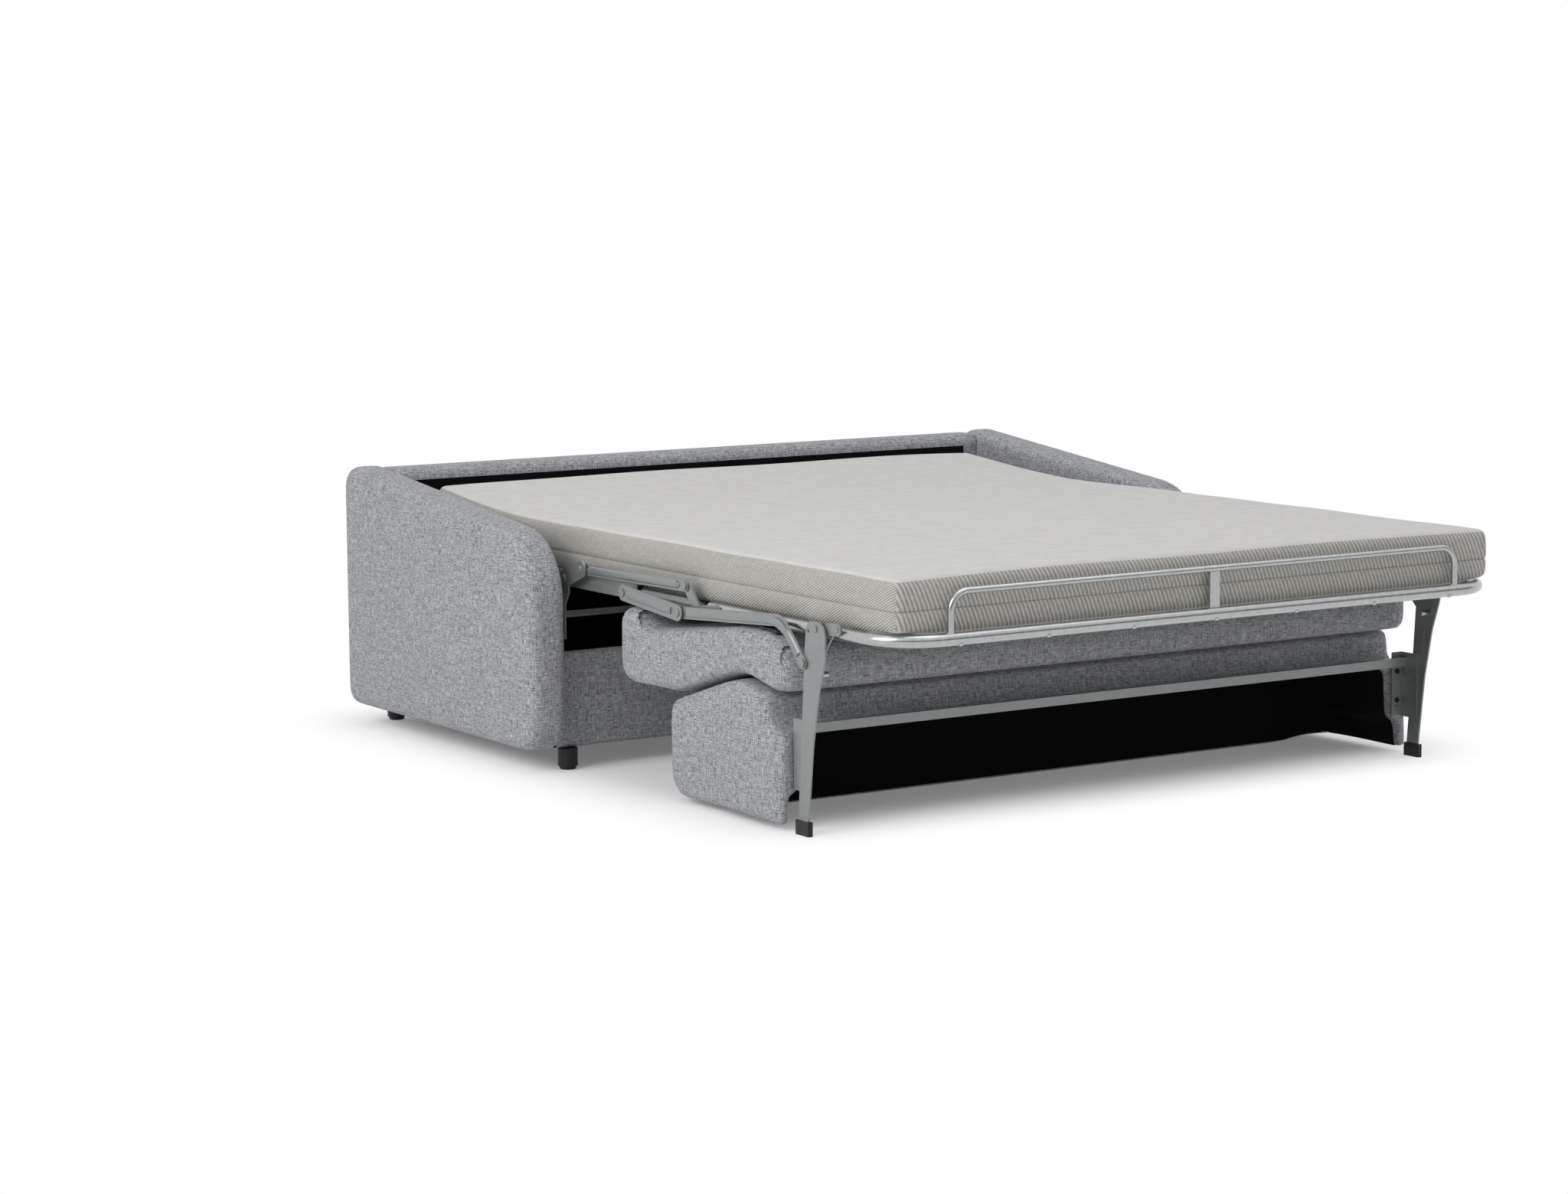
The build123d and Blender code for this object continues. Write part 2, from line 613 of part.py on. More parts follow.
def leg_lug():
    """Lug on the foot tube that carries a leg's pivot."""
    face = bar_between(LEG_PIVOT, LUG_RIVET, LUG_H)
    pin = cylinder_x(LEG_PIVOT, PIN_R, TAB_X + TAB_THICK, LEG_X + LEG_THICK + SHELL_GAP)
    collar = cylinder_x(LEG_PIVOT, RIVET_R, TAB_X + TAB_THICK, LEG_X - SHELL_GAP)
    outside = LEG_X + LEG_THICK + SHELL_GAP
    head = cylinder_x(LEG_PIVOT, PIN_R + 1.5, outside, outside + RIVET_H / 2)
    rivet = cylinder_x(LUG_RIVET, PIN_R, TAB_X + TAB_THICK, TAB_X + TAB_THICK + RIVET_H / 2)
    return side_slab(face, TAB_X, TAB_X + TAB_THICK) + pin + collar + head + rivet


def mattress_retainer():
    """Bent rod that stands on the foot tube and holds the end of the mattress."""
    corners = [across(FOOT_TUBE_DEPTH, TUBE_Z, -RETAINER_X),
               across(FOOT_TUBE_DEPTH, RETAINER_TOP - RETAINER_R, -RETAINER_X),
               across(FOOT_TUBE_DEPTH, RETAINER_TOP - RETAINER_R, RETAINER_X),
               across(FOOT_TUBE_DEPTH, TUBE_Z, RETAINER_X)]
    rod = swept_rod(FilletPolyline(*corners, radius=RETAINER_BEND_R), RETAINER_R)
    return rod - swept_rod(foot_path(), TUBE_R)


def retainer_strap():
    """Flat strap between the foot tube and the middle of the retainer."""
    depths = (FOOT_TUBE_DEPTH - STRAP_THICK / 2, FOOT_TUBE_DEPTH + STRAP_THICK / 2)
    strap = depth_box(depths, (TUBE_Z, RETAINER_TOP - RETAINER_R), (-STRAP_W / 2, STRAP_W / 2))
    rod = cylinder_x((FOOT_TUBE_DEPTH, RETAINER_TOP - RETAINER_R), RETAINER_R, -STRAP_W, STRAP_W)
    return strap - swept_rod(foot_path(), TUBE_R) - rod


def seat_cushion():
    """Seat of the sofa, upside down under the foot section, waved along its depth."""
    outline = rounded(list(zip(SEAT_DEPTHS, SEAT_HEIGHTS)), SEAT_RADII)
    cushion = side_slab(outline, -SEAT_HALF, SEAT_HALF)
    return fillet(side_edges(cushion, SEAT_HALF), SEAT_EDGE_R)


def seat_clips():
    """Black clips that hold the seat to the foot tube."""
    clip = depth_box(SEAT_CLIP_DEPTHS, (SEAT_CLIP_LOW, TUBE_Z - TUBE_R), SEAT_CLIP_XS)
    return both(clip - Pos(0, 0, SEAT_CLIP_GAP) * seat_cushion())


# Leg frame with the backrest


def leg():
    """Pressed steel leg, wide at its pivot and narrow at the floor, with an embossed slot."""
    outline = rounded(list(zip(LEG_DEPTHS, LEG_HEIGHTS)), LEG_RADII)
    face = outline - hole_at(LEG_PIVOT) - hole_at(LEG_LINK_PIVOT)
    face = face - Pos(*LEG_SPARE_HOLE) * Circle(LEG_SPARE_R)
    slot_run = EMBOSS_TO - EMBOSS_FROM
    slot = Pos(LEG_PIVOT[0] - EMBOSS_BACK, (EMBOSS_FROM + EMBOSS_TO) / 2) * Rot(0, 0, 90 + EMBOSS_TURN)
    emboss = side_slab(slot * SlotOverall(slot_run, EMBOSS_W), LEG_X - EMBOSS_H, LEG_X)
    return side_slab(face, LEG_X, LEG_X + LEG_THICK) + emboss


def leg_cap():
    """Black plastic boot on the end of a leg."""
    depths = (LEG_DEPTHS[0] - LEG_CAP_WALL, LEG_DEPTHS[1] + LEG_CAP_FLARE + LEG_CAP_WALL)
    xs = (LEG_X - LEG_CAP_WALL, LEG_X + LEG_THICK + LEG_CAP_WALL)
    boot = depth_box(depths, (0, LEG_CAP_H), xs)
    boot = fillet(boot.edges().filter_by(Axis.Z), LEG_CAP_WALL / 2)
    return boot - leg()


def leg_bracket():
    """Angle bracket between a leg and the backrest, with keyhole slots for its screws."""
    heights = (BRACKET_LOW, BRACKET_HIGH)
    flange_depths = (BACKREST_FOOT, BACKREST_FOOT + BRACKET_THICK)
    flange = depth_box(flange_depths, heights, (BRACKET_IN, LEG_X))
    web = depth_box((BACKREST_FOOT, BRACKET_FRONT), heights, (LEG_X - BRACKET_THICK, LEG_X))
    keyhole_x = (BRACKET_IN + LEG_X) / 2
    for z in BRACKET_HOLE_ZS:
        keyhole = Pos(keyhole_x, z) * Circle(KEYHOLE_R)
        keyhole += Pos(keyhole_x, z + KEYHOLE_RUN / 2) * Rot(0, 0, 90) * SlotCenterToCenter(KEYHOLE_RUN, KEYHOLE_R)
        flange -= extrude(front_plane(BACKREST_FOOT - 1) * keyhole, BRACKET_THICK + 2)
    return flange + web


def bracket_screws():
    """Round-headed screws that hang the backrest in the keyholes."""
    keyhole_x = (BRACKET_IN + LEG_X) / 2
    screws = []
    for z in BRACKET_HOLE_ZS:
        place = Pos(keyhole_x, z + KEYHOLE_RUN)
        shank = extrude(front_plane(BACKREST_FOOT) * place * Circle(KEYHOLE_R / 2 - PIN_PLAY), BRACKET_THICK)
        head = extrude(front_plane(BACKREST_FOOT + BRACKET_THICK) * place * Circle(KEYHOLE_R), RIVET_H)
        screws.append(shank + head)
    return both(group(screws))


def leg_cross_bar():
    """Flat bar between the two leg brackets."""
    half = LEG_X - BRACKET_THICK
    rear = BACKREST_FOOT + BRACKET_THICK + RIVET_H + 1
    return depth_box((rear, rear + CROSS_BAR_THICK), CROSS_BAR_Z, (-half, half))


def leg_rod():
    """Round rod between the tops of the legs."""
    return cylinder_x(LEG_ROD, LEG_ROD_R, -LEG_X, LEG_X)


def leg_catch():
    """Thin curved blade on the leg rod, hooked towards the foot tube."""
    low = (LEG_ROD[0] + LEG_ROD_R + CATCH_THICK / 2, LEG_ROD[1])
    blade = ThreePointArc(low, CATCH_MIDDLE, CATCH_TIP)
    return side_slab(trace(blade, CATCH_THICK), *CATCH_XS)


def backrest_profile():
    """Outline of the backrest, turned over: rounded towards the head, a ledge towards the foot."""
    return rounded(list(zip(BACKREST_DEPTHS, BACKREST_HEIGHTS)), BACKREST_RADII)


def backrest_cushion():
    """Backrest of the sofa, hollow on the side that meets the fixed back."""
    cushion = side_slab(backrest_profile(), -BACKREST_HALF, BACKREST_HALF)
    cushion = fillet(side_edges(cushion, BACKREST_HALF), BACKREST_EDGE_R)
    open_foot = BACKREST_FOOT + 1
    cavity = depth_box((CAVITY_HEAD, open_foot), (0, CAVITY_TOP), (-CAVITY_HALF, CAVITY_HALF))
    toe_half = BACKREST_HALF - END_PANEL_THICK
    toe = depth_box((CAVITY_HEAD, open_foot), (0, END_PANEL_TOP), (-toe_half, toe_half))
    return cushion - cavity - toe


def backrest_lining():
    """Black lining over the head wall and the roof of the hollow."""
    half = CAVITY_HALF
    wall = depth_box((CAVITY_HEAD, CAVITY_HEAD + CAVITY_LINING), (BACKREST_LOW, CAVITY_TOP), (-half, half))
    roof_depths = (CAVITY_HEAD, BACKREST_FOOT - CAVITY_LINING)
    return wall + depth_box(roof_depths, (CAVITY_TOP - CAVITY_LINING, CAVITY_TOP), (-half, half))


# Links


def upper_link():
    """Ribbed link between the hinge plate and the tab of the foot section."""
    link = ribbed_bar(PLATE_PIVOT, UPPER_LINK_PIVOT, LINK_H, UPPER_LINK_X)
    return link - cylinder_x(UPPER_LINK_PIVOT, PIN_R + PIN_PLAY, UPPER_LINK_X - 1, UPPER_LINK_X + LINK_H)


def leg_link():
    """Cranked link that swings the leg as the bed folds."""
    path = FilletPolyline(CHANNEL_END, LEG_LINK_BEND, LEG_LINK_PIVOT, radius=LEG_LINK_BEND_R)
    face = trace(path, LINK_H) + hole_at(CHANNEL_END, LINK_H / 2) + hole_at(LEG_LINK_PIVOT, LINK_H / 2)
    link = side_slab(face - hole_at(LEG_LINK_PIVOT), LEG_LINK_X, LEG_LINK_X + LINK_THICK)
    rib_path = path.trim(LEG_LINK_RIB_SPAN[0], LEG_LINK_RIB_SPAN[1])
    rib = side_slab(trace(rib_path, LINK_H * RIB_SHARE), LEG_LINK_X + LINK_THICK, LEG_LINK_X + LINK_THICK + RIB_H)
    return link + rib


def leg_link_pins():
    """Pins of the leg links on the legs."""
    outer = LEG_LINK_X + LINK_THICK
    pin = cylinder_x(LEG_LINK_PIVOT, PIN_R, LEG_X, outer + SHELL_GAP)
    head = cylinder_x(LEG_LINK_PIVOT, RIVET_R, outer + SHELL_GAP, outer + SHELL_GAP + RIVET_H)
    return both(pin + head)


def pair(name, solid):
    """The left and right nodes of a piece made on the right."""
    return {f"right_{name}": solid, f"left_{name}": left(solid)}


def base_nodes():
    """Pieces of the standing sofa and of the fixed head section."""
    rail_x = TUBE_X - RAIL_W / 2
    return {
        **pair("arm", arm()),
        "back_panel": back_panel(),
        "back_lining": back_lining(),
        "front_apron": front_apron(),
        **pair("side_board", side_board()),
        "bottom_rails": group([rear_rail(), front_rail()]),
        "dust_cover": dust_cover(),
        "sofa_legs": sofa_legs(),
        "glides": glides(),
        **pair("hinge_plate", hinge_plate()),
        "plate_bolts": group([plate_rivets(), rail_bolts()]),
        "base_cross_bar": base_cross_bar(),
        **pair("head_rail", head_rail()),
        "head_cross_tubes": cross_tubes(HEAD_CROSS_DEPTHS, rail_x),
        "head_webbing": webbing(HEAD_RAIL_START + WEB_STEP / 2, HEAD_PIVOT[0] - WEB_W, rail_x),
        "fold_pins": fold_pins(),
        "mattress_head": mattress_head(),
    }


def mid_nodes():
    """Pieces of the folding middle section."""
    return {
        **pair("mid_channel", mid_channel()),
        "channel_rivets": channel_rivets(),
        **pair("mid_tube", mid_tube()),
        "mid_spacers": mid_spacers(),
        "mid_cross_tubes": saddled_tubes(MID_CROSS_DEPTHS, MID_TUBE_R),
        "mid_webbing": webbing(*MID_WEB_DEPTHS, TUBE_X - MID_TUBE_R),
        "mattress_bend": mattress_bend(),
    }


def foot_nodes():
    """Pieces of the foot section, with the seat."""
    return {
        "foot_tube": foot_tube(),
        **pair("joint_plate", joint_plate()),
        "joint_pins": joint_pins(),
        "upper_link_pins": upper_link_pins(),
        **pair("leg_lug", leg_lug()),
        "mattress_retainer": mattress_retainer(),
        "retainer_strap": retainer_strap(),
        "foot_cross_tubes": saddled_tubes(FOOT_CROSS_DEPTHS, TUBE_R),
        "foot_webbing": webbing(*FOOT_WEB_DEPTHS, TUBE_X - TUBE_R),
        "seat_cushion": seat_cushion(),
        "seat_clips": seat_clips(),
        "mattress_foot": mattress_foot(),
    }


def leg_nodes():
    """Pieces of the leg frame, with the backrest."""
    return {
        **pair("leg", leg()),
        "leg_caps": both(leg_cap()),
        **pair("leg_bracket", leg_bracket()),
        "bracket_screws": bracket_screws(),
        "leg_cross_bar": leg_cross_bar(),
        "leg_rod": leg_rod(),
        "leg_catches": both(leg_catch()),
        "leg_link_pins": leg_link_pins(),
        "backrest_cushion": backrest_cushion(),
        "backrest_lining": backrest_lining(),
    }


def link_nodes():
    """The two pairs of links outside the tubes."""
    return {**pair("upper_link", upper_link()), **pair("leg_link", leg_link())}


def main():
    """Build every node and write it to its own file."""
    os.makedirs("parts", exist_ok=True)
    nodes = {**base_nodes(), **mid_nodes(), **foot_nodes(), **leg_nodes(), **link_nodes()}
    for name, solid in nodes.items():
        solid.label = name
        export_step(solid, f"parts/{name}.step")
    print(len(nodes), "nodes")


main()
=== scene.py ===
"""Sofa bed, opened out: upholstery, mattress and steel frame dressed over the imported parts."""
from __future__ import annotations

import json
import logging
import math
from dataclasses import dataclass
from enum import Enum
from functools import partial
from typing import Any, Callable, Iterable, Sequence

import bpy
from mathutils import Matrix, Vector

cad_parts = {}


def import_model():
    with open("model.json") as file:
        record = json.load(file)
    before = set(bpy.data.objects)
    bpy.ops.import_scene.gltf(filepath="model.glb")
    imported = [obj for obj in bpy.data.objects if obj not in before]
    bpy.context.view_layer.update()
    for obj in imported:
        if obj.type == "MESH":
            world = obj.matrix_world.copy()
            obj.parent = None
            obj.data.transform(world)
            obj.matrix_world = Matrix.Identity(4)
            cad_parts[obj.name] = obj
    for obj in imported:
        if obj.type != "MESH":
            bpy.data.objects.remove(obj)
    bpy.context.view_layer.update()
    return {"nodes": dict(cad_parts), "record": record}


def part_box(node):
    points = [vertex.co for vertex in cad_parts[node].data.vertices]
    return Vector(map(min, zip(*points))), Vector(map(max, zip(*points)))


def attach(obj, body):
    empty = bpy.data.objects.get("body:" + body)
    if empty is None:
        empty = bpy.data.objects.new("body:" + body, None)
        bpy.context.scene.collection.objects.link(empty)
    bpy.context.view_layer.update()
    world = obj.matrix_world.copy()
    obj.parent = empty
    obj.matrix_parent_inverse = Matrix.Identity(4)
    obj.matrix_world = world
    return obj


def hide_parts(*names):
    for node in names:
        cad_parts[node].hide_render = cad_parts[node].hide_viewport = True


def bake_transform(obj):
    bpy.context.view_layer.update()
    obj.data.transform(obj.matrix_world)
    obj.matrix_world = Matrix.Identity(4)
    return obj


LOG = logging.getLogger("sofa_bed")
MM = 0.001
REAR_Y = 1.091
REST_PLACE, REST_LOOK = "rest_place", "rest_look"
# A face looks along an axis where its normal has this much of it.
LOOKS_ALONG = 0.7
WHITE = (1.0, 1.0, 1.0, 1.0)


def at_depth(depth_mm: float) -> float:
    """Return the y in metres of a depth measured forward from the sofa's rear face."""
    return REAR_Y - depth_mm * MM


def linear(colour: str) -> tuple[float, float, float, float]:
    """Turn an sRGB hex colour into linear light.

    Args:
        colour: six hex digits after a hash sign.

    Returns:
        Red, green, blue and an alpha of one.
    """
    parts = [int(colour[i:i + 2], 16) / 255 for i in (1, 3, 5)]
    light = [c / 12.92 if c <= 0.04045 else ((c + 0.055) / 1.055) ** 2.4 for c in parts]
    return (light[0], light[1], light[2], 1.0)


def set_inputs(tree: bpy.types.NodeTree, target: bpy.types.Node, inputs: dict[Any, Any]) -> None:
    """Set a node's inputs, or link them.

    Args:
        tree: the node's tree.
        target: the node.
        inputs: sockets by name or number, each with a value, or a node or socket to link from.
    """
    for key, value in inputs.items():
        source = value.outputs[0] if isinstance(value, bpy.types.Node) else value
        if isinstance(source, bpy.types.NodeSocket):
            tree.links.new(source, target.inputs[key])
        else:
            target.inputs[key].default_value = source


def add_node(tree: bpy.types.NodeTree, kind: str, *inputs: Any, **settings: Any) -> bpy.types.Node:
    """Add a shader node with its settings and links.

    Args:
        tree: the node tree that gets the node.
        kind: the node's type, without the leading ShaderNode.
        *inputs: what its sockets take, in their order, or one dict by their names or numbers.
        **settings: properties of the node itself.

    Returns:
        The new node, which links by its first output where it is given as an input.
    """
    made = tree.nodes.new(f"ShaderNode{kind}")
    for name, value in settings.items():
        setattr(made, name, value)
    by_name = bool(inputs) and isinstance(inputs[0], dict)
    set_inputs(tree, made, inputs[0] if by_name else dict(enumerate(inputs)))
    return made


def tones(tree: bpy.types.NodeTree, value: bpy.types.Node,
          stops: Sequence[tuple[float, str]]) -> bpy.types.NodeSocket:
    """Return a colour that passes through a row of tones as a value rises.

    Args:
        tree: the node tree.
        value: the node that picks the tone.
        stops: values with their sRGB hex colours, in order.

    Returns:
        The colour socket.
    """
    reached, first = stops[0]
    tone: Any = linear(first)
    for stop, colour in stops[1:]:
        share = add_node(tree, "MapRange", value, reached, stop)
        mix = add_node(tree, "Mix", {0: share, 6: tone, 7: linear(colour)}, data_type="RGBA")
        reached, tone = stop, mix.outputs[2]
    return tone


def seen_share(tree: bpy.types.NodeTree) -> bpy.types.Node:
    """Find the rays by which a surface is seen, by itself or in metal and glass.

    Args:
        tree: the node tree.

    Returns:
        A node that is one for those rays and nothing for the light's own.
    """
    path = add_node(tree, "LightPath").outputs
    mirrored = add_node(tree, "Math", path["Is Glossy Ray"], path["Is Transmission Ray"],
                        operation="MAXIMUM")
    return add_node(tree, "Math", path["Is Camera Ray"], mirrored, operation="MAXIMUM")


@dataclass(frozen=True)
class FacePlane:
    """Nodes that lay a pattern flat on whichever way a face looks."""

    tree: bpy.types.NodeTree
    along: bpy.types.Node
    up: bpy.types.Node
    on_side: bpy.types.Node
    on_top: bpy.types.Node
    facing_right: bpy.types.Node

    @classmethod
    def of(cls, tree: bpy.types.NodeTree, carried: bool = False) -> FacePlane:
        """Build the nodes from a piece's own coordinates and normals.

        Args:
            tree: the material's node tree.
            carried: True where the piece's pattern is stored on it at rest, flat.

        Returns:
            Distances in metres along and up each face, with masks of where it looks.
        """
        node = partial(add_node, tree)
        if carried:
            spots = [node("Attribute", attribute_name=name).outputs["Vector"]
                     for name in (REST_PLACE, REST_LOOK)]
        else:
            coords = node("TexCoord").outputs
            spots = [coords["Object"], coords["Normal"]]
        place, look = [node("SeparateXYZ", spot).outputs for spot in spots]
        on_side, on_top = [node("Math", node("Math", part, operation="ABSOLUTE"), LOOKS_ALONG,
                                operation="GREATER_THAN") for part in (look[0], look[2])]
        to_depth = [node("Math", place[1], part, operation="SUBTRACT") for part in (place[0], place[2])]
        along = node("Math", on_side, to_depth[0], place[0], operation="MULTIPLY_ADD")
        up = node("Math", on_top, to_depth[1], place[2], operation="MULTIPLY_ADD")
        facing_right = node("Math", look[0], LOOKS_ALONG, operation="GREATER_THAN")
        return cls(tree, along, up, on_side, on_top, facing_right)

    def streaks(self, long_mm: float, wide_mm: float, upright: bool) -> bpy.types.Node:
        """Return noise drawn out along one thread direction.

        Args:
            long_mm: length of a streak.
            wide_mm: width of a streak.
            upright: True for threads that run up the face.

        Returns:
            A node of values around one half.
        """
        node = partial(add_node, self.tree)
        sizes = (wide_mm, long_mm) if upright else (long_mm, wide_mm)
        steps = [node("Math", way, size * MM, operation="DIVIDE")
                 for way, size in zip((self.along, self.up), sizes)]
        return node("TexNoise", {"Vector": node("CombineXYZ", *steps), "Scale": 1.0, "Detail": 2.0,
                                 "Roughness": 0.6}, noise_dimensions="2D")

    def weave(self, thread_mm: float) -> bpy.types.Node:
        """Return the height of a plain weave, from -1 to 1.

        Args:
            thread_mm: spacing of the threads, the same both ways.

        Returns:
            A node that is above nothing where the warp lies on top.
        """
        node = partial(add_node, self.tree)
        turn = math.tau / (2 * thread_mm * MM)
        waves = [node("Math", node("Math", way, turn, operation="MULTIPLY"), operation="SINE")
                 for way in (self.along, self.up)]
        return node("Math", *waves, operation="MULTIPLY")


def new_material(name: str) -> tuple[bpy.types.Material, bpy.types.NodeTree, bpy.types.Node]:
    """Make a node material.

    Args:
        name: the finish's name.

    Returns:
        The material, its node tree and its main shader.
    """
    material = bpy.data.materials.new(name)
    material.use_nodes = True
    tree = material.node_tree
    return material, tree, tree.nodes["Principled BSDF"]


@dataclass(frozen=True)
class MelangeWeave:
    """Woven polyester in mixed greys: slubs of lighter and darker yarn both ways, no gloss."""

    name: str = "melange_weave"
    stops: tuple[tuple[float, str], ...] = ((0.28, "#55575c"), (0.46, "#8d8f93"), (0.62, "#bbbcbf"))
    # The real yarns lie about 1 mm apart, too fine to show, so they are drawn about twice as coarse.
    thread_mm: float = 2.2
    yarn_mm: tuple[float, float] = (15.0, 1.7)
    slub_mm: tuple[float, float] = (70.0, 3.0)
    slub_share: float = 0.45
    thread_share: float = 0.4
    relief_mm: float = 0.9
    relief: float = 0.5
    roughness: float = 0.92
    gloss: float = 0.25
    sheen: float = 0.12
    sheen_roughness: float = 0.5

    def build(self) -> bpy.types.Material:
        """Make the finish from nodes.

        Returns:
            The material.
        """
        material, tree, shader = new_material(self.name)
        node = partial(add_node, tree)
        plane = FacePlane.of(tree)
        yarns = []
        for upright in (True, False):
            yarn, slub = [plane.streaks(*size, upright) for size in (self.yarn_mm, self.slub_mm)]
            uneven = node("Math", slub, 0.5, operation="SUBTRACT")
            yarns.append(node("Math", uneven, self.slub_share, yarn, operation="MULTIPLY_ADD"))
        # Warp shows where the weave lifts it and weft elsewhere, and dark yarns show through both.
        weave = plane.weave(self.thread_mm)
        over = node("Math", weave, 0.0, operation="GREATER_THAN")
        apart = node("Math", *yarns, operation="SUBTRACT")
        woven = node("Math", over, apart, yarns[1], operation="MULTIPLY_ADD")
        both = node("Math", node("Math", *yarns, operation="MINIMUM"), woven, operation="ADD")
        mixed = node("Math", both, 0.5, operation="MULTIPLY")
        height = node("Math", weave, self.thread_share, mixed, operation="MULTIPLY_ADD")
        normal = node("Bump", {"Height": height, "Distance": self.relief_mm * MM, "Strength": self.relief})
        set_inputs(tree, shader, {
            "Base Color": tones(tree, mixed, self.stops), "Roughness": self.roughness,
            "Specular IOR Level": self.gloss, "Sheen Weight": self.sheen,
            "Sheen Roughness": self.sheen_roughness, "Normal": normal})
        return material


@dataclass(frozen=True)
class MattressKnit:
    """Polyester ticking: smooth on top, slanting ribs on the border, soft and without gloss."""

    name: str = "mattress_knit"
    top: tuple[tuple[float, str], ...] = ((0.35, "#bfbebc"), (0.65, "#c5c4c2"))
    border: tuple[tuple[float, str], ...] = ((0.2, "#8f8d87"), (0.85, "#bcbab5"))
    seam: str = "#85837d"
    foot_rib_mm: tuple[float, float] = (10.6, 25.8)
    side_rib_mm: tuple[float, float] = (11.6, 5.7)
    rib_share: float = 0.36
    dash_mm: float = 9.0
    dash_share: float = 0.5
    dash_base: float = 0.27
    seam_mm: float = 489.4
    seam_half_mm: float = 1.0
    cloud_mm: tuple[float, float] = (60.0, 40.0)
    # The real stitches are under 1 mm, too fine to show, so they are drawn coarser.
    stitch_mm: float = 2.5
    stitch_share: float = 0.12
    relief_mm: float = 0.8
    relief: float = 0.6
    roughness: float = 0.88
    gloss: float = 0.25
    sheen: float = 0.08

    def build(self) -> bpy.types.Material:
        """Make the finish from nodes.

        Returns:
            The material.
        """
        material, tree, shader = new_material(self.name)
        node = partial(add_node, tree)
        plane = FacePlane.of(tree, carried=True)
        # Steep ribs on the foot border, flatter ones on the sides, mirrored on the right.
        lean = node("Math", plane.facing_right, -2.0, 1.0, operation="MULTIPLY_ADD")
        slid = node("Math", plane.along, lean, operation="MULTIPLY")
        foot, side = [node("Math", node("Math", way, pitch[0] * MM, operation="DIVIDE"),
                           node("Math", plane.up, pitch[1] * MM, operation="DIVIDE"), operation="ADD")
                      for way, pitch in ((plane.along, self.foot_rib_mm), (slid, self.side_rib_mm))]
        apart = node("Math", side, foot, operation="SUBTRACT")
        across = node("Math", plane.on_side, apart, foot, operation="MULTIPLY_ADD")
        rib = node("Math", node("Math", across, math.tau, operation="MULTIPLY"), operation="SINE")
        rise = node("Math", plane.up, self.dash_mm * MM, operation="DIVIDE")
        dashes = node("TexNoise", {"Vector": node("CombineXYZ", across, rise), "Scale": 1.0,
                                   "Detail": 1.0}, noise_dimensions="2D")
        dashed = node("Math", dashes, self.dash_share, self.dash_base, operation="MULTIPLY_ADD")
        ribbed = node("Math", rib, self.rib_share, dashed, operation="MULTIPLY_ADD")
        from_seam = node("Math", plane.up, self.seam_mm * MM, operation="SUBTRACT")
        sewn = node("Math", node("Math", from_seam, operation="ABSOLUTE"), self.seam_half_mm * MM,
                    operation="LESS_THAN")
        border = node("Mix", {0: sewn, 6: tones(tree, ribbed, self.border), 7: linear(self.seam)},
                      data_type="RGBA")
        top = tones(tree, plane.streaks(*self.cloud_mm, False), self.top)
        tone = node("Mix", {0: plane.on_top, 6: border.outputs[2], 7: top}, data_type="RGBA")
        off_top = node("Math", 1.0, plane.on_top, operation="SUBTRACT")
        raised = node("Math", rib, off_top, operation="MULTIPLY")
        height = node("Math", plane.weave(self.stitch_mm), self.stitch_share, raised,
                      operation="MULTIPLY_ADD")
        normal = node("Bump", {"Height": height, "Distance": self.relief_mm * MM, "Strength": self.relief})
        set_inputs(tree, shader, {
            "Base Color": tone.outputs[2], "Roughness": self.roughness,
            "Specular IOR Level": self.gloss, "Sheen Weight": self.sheen, "Normal": normal})
        return material


@dataclass(frozen=True)
class CoatedSteel:
    """Steel under a thin silver-grey epoxy coat: even, satin, a little mottled."""

    name: str
    colour: str
    shade: str
    metallic: float
    roughness: float
    mottle_mm: float = 14.0
    # The real grit is a few tenths of a millimetre, too fine to show, so it is drawn coarser.
    grit_mm: float = 1.5
    grit_depth_mm: float = 0.05
    relief: float = 0.25
    uneven: float = 0.14
    turns: tuple[float, float] = (0.3, 0.7)

    def build(self) -> bpy.types.Material:
        """Make the finish from nodes.

        Returns:
            The material.
        """
        material, tree, shader = new_material(self.name)
        node = partial(add_node, tree)
        spot = node("TexCoord").outputs["Object"]
        mottle, grit = [node("TexNoise", {"Vector": spot, "Detail": detail, "Scale": 1 / (size * MM)})
                        for detail, size in ((3.0, self.mottle_mm), (1.0, self.grit_mm))]
        rough = node("Math", mottle, self.uneven, self.roughness - self.uneven / 2,
                     operation="MULTIPLY_ADD")
        normal = node("Bump", {"Height": grit, "Distance": self.grit_depth_mm * MM,
                               "Strength": self.relief})
        set_inputs(tree, shader, {
            "Base Color": tones(tree, mottle, list(zip(self.turns, (self.shade, self.colour)))),
            "Metallic": self.metallic, "Roughness": rough, "Normal": normal})
        return material


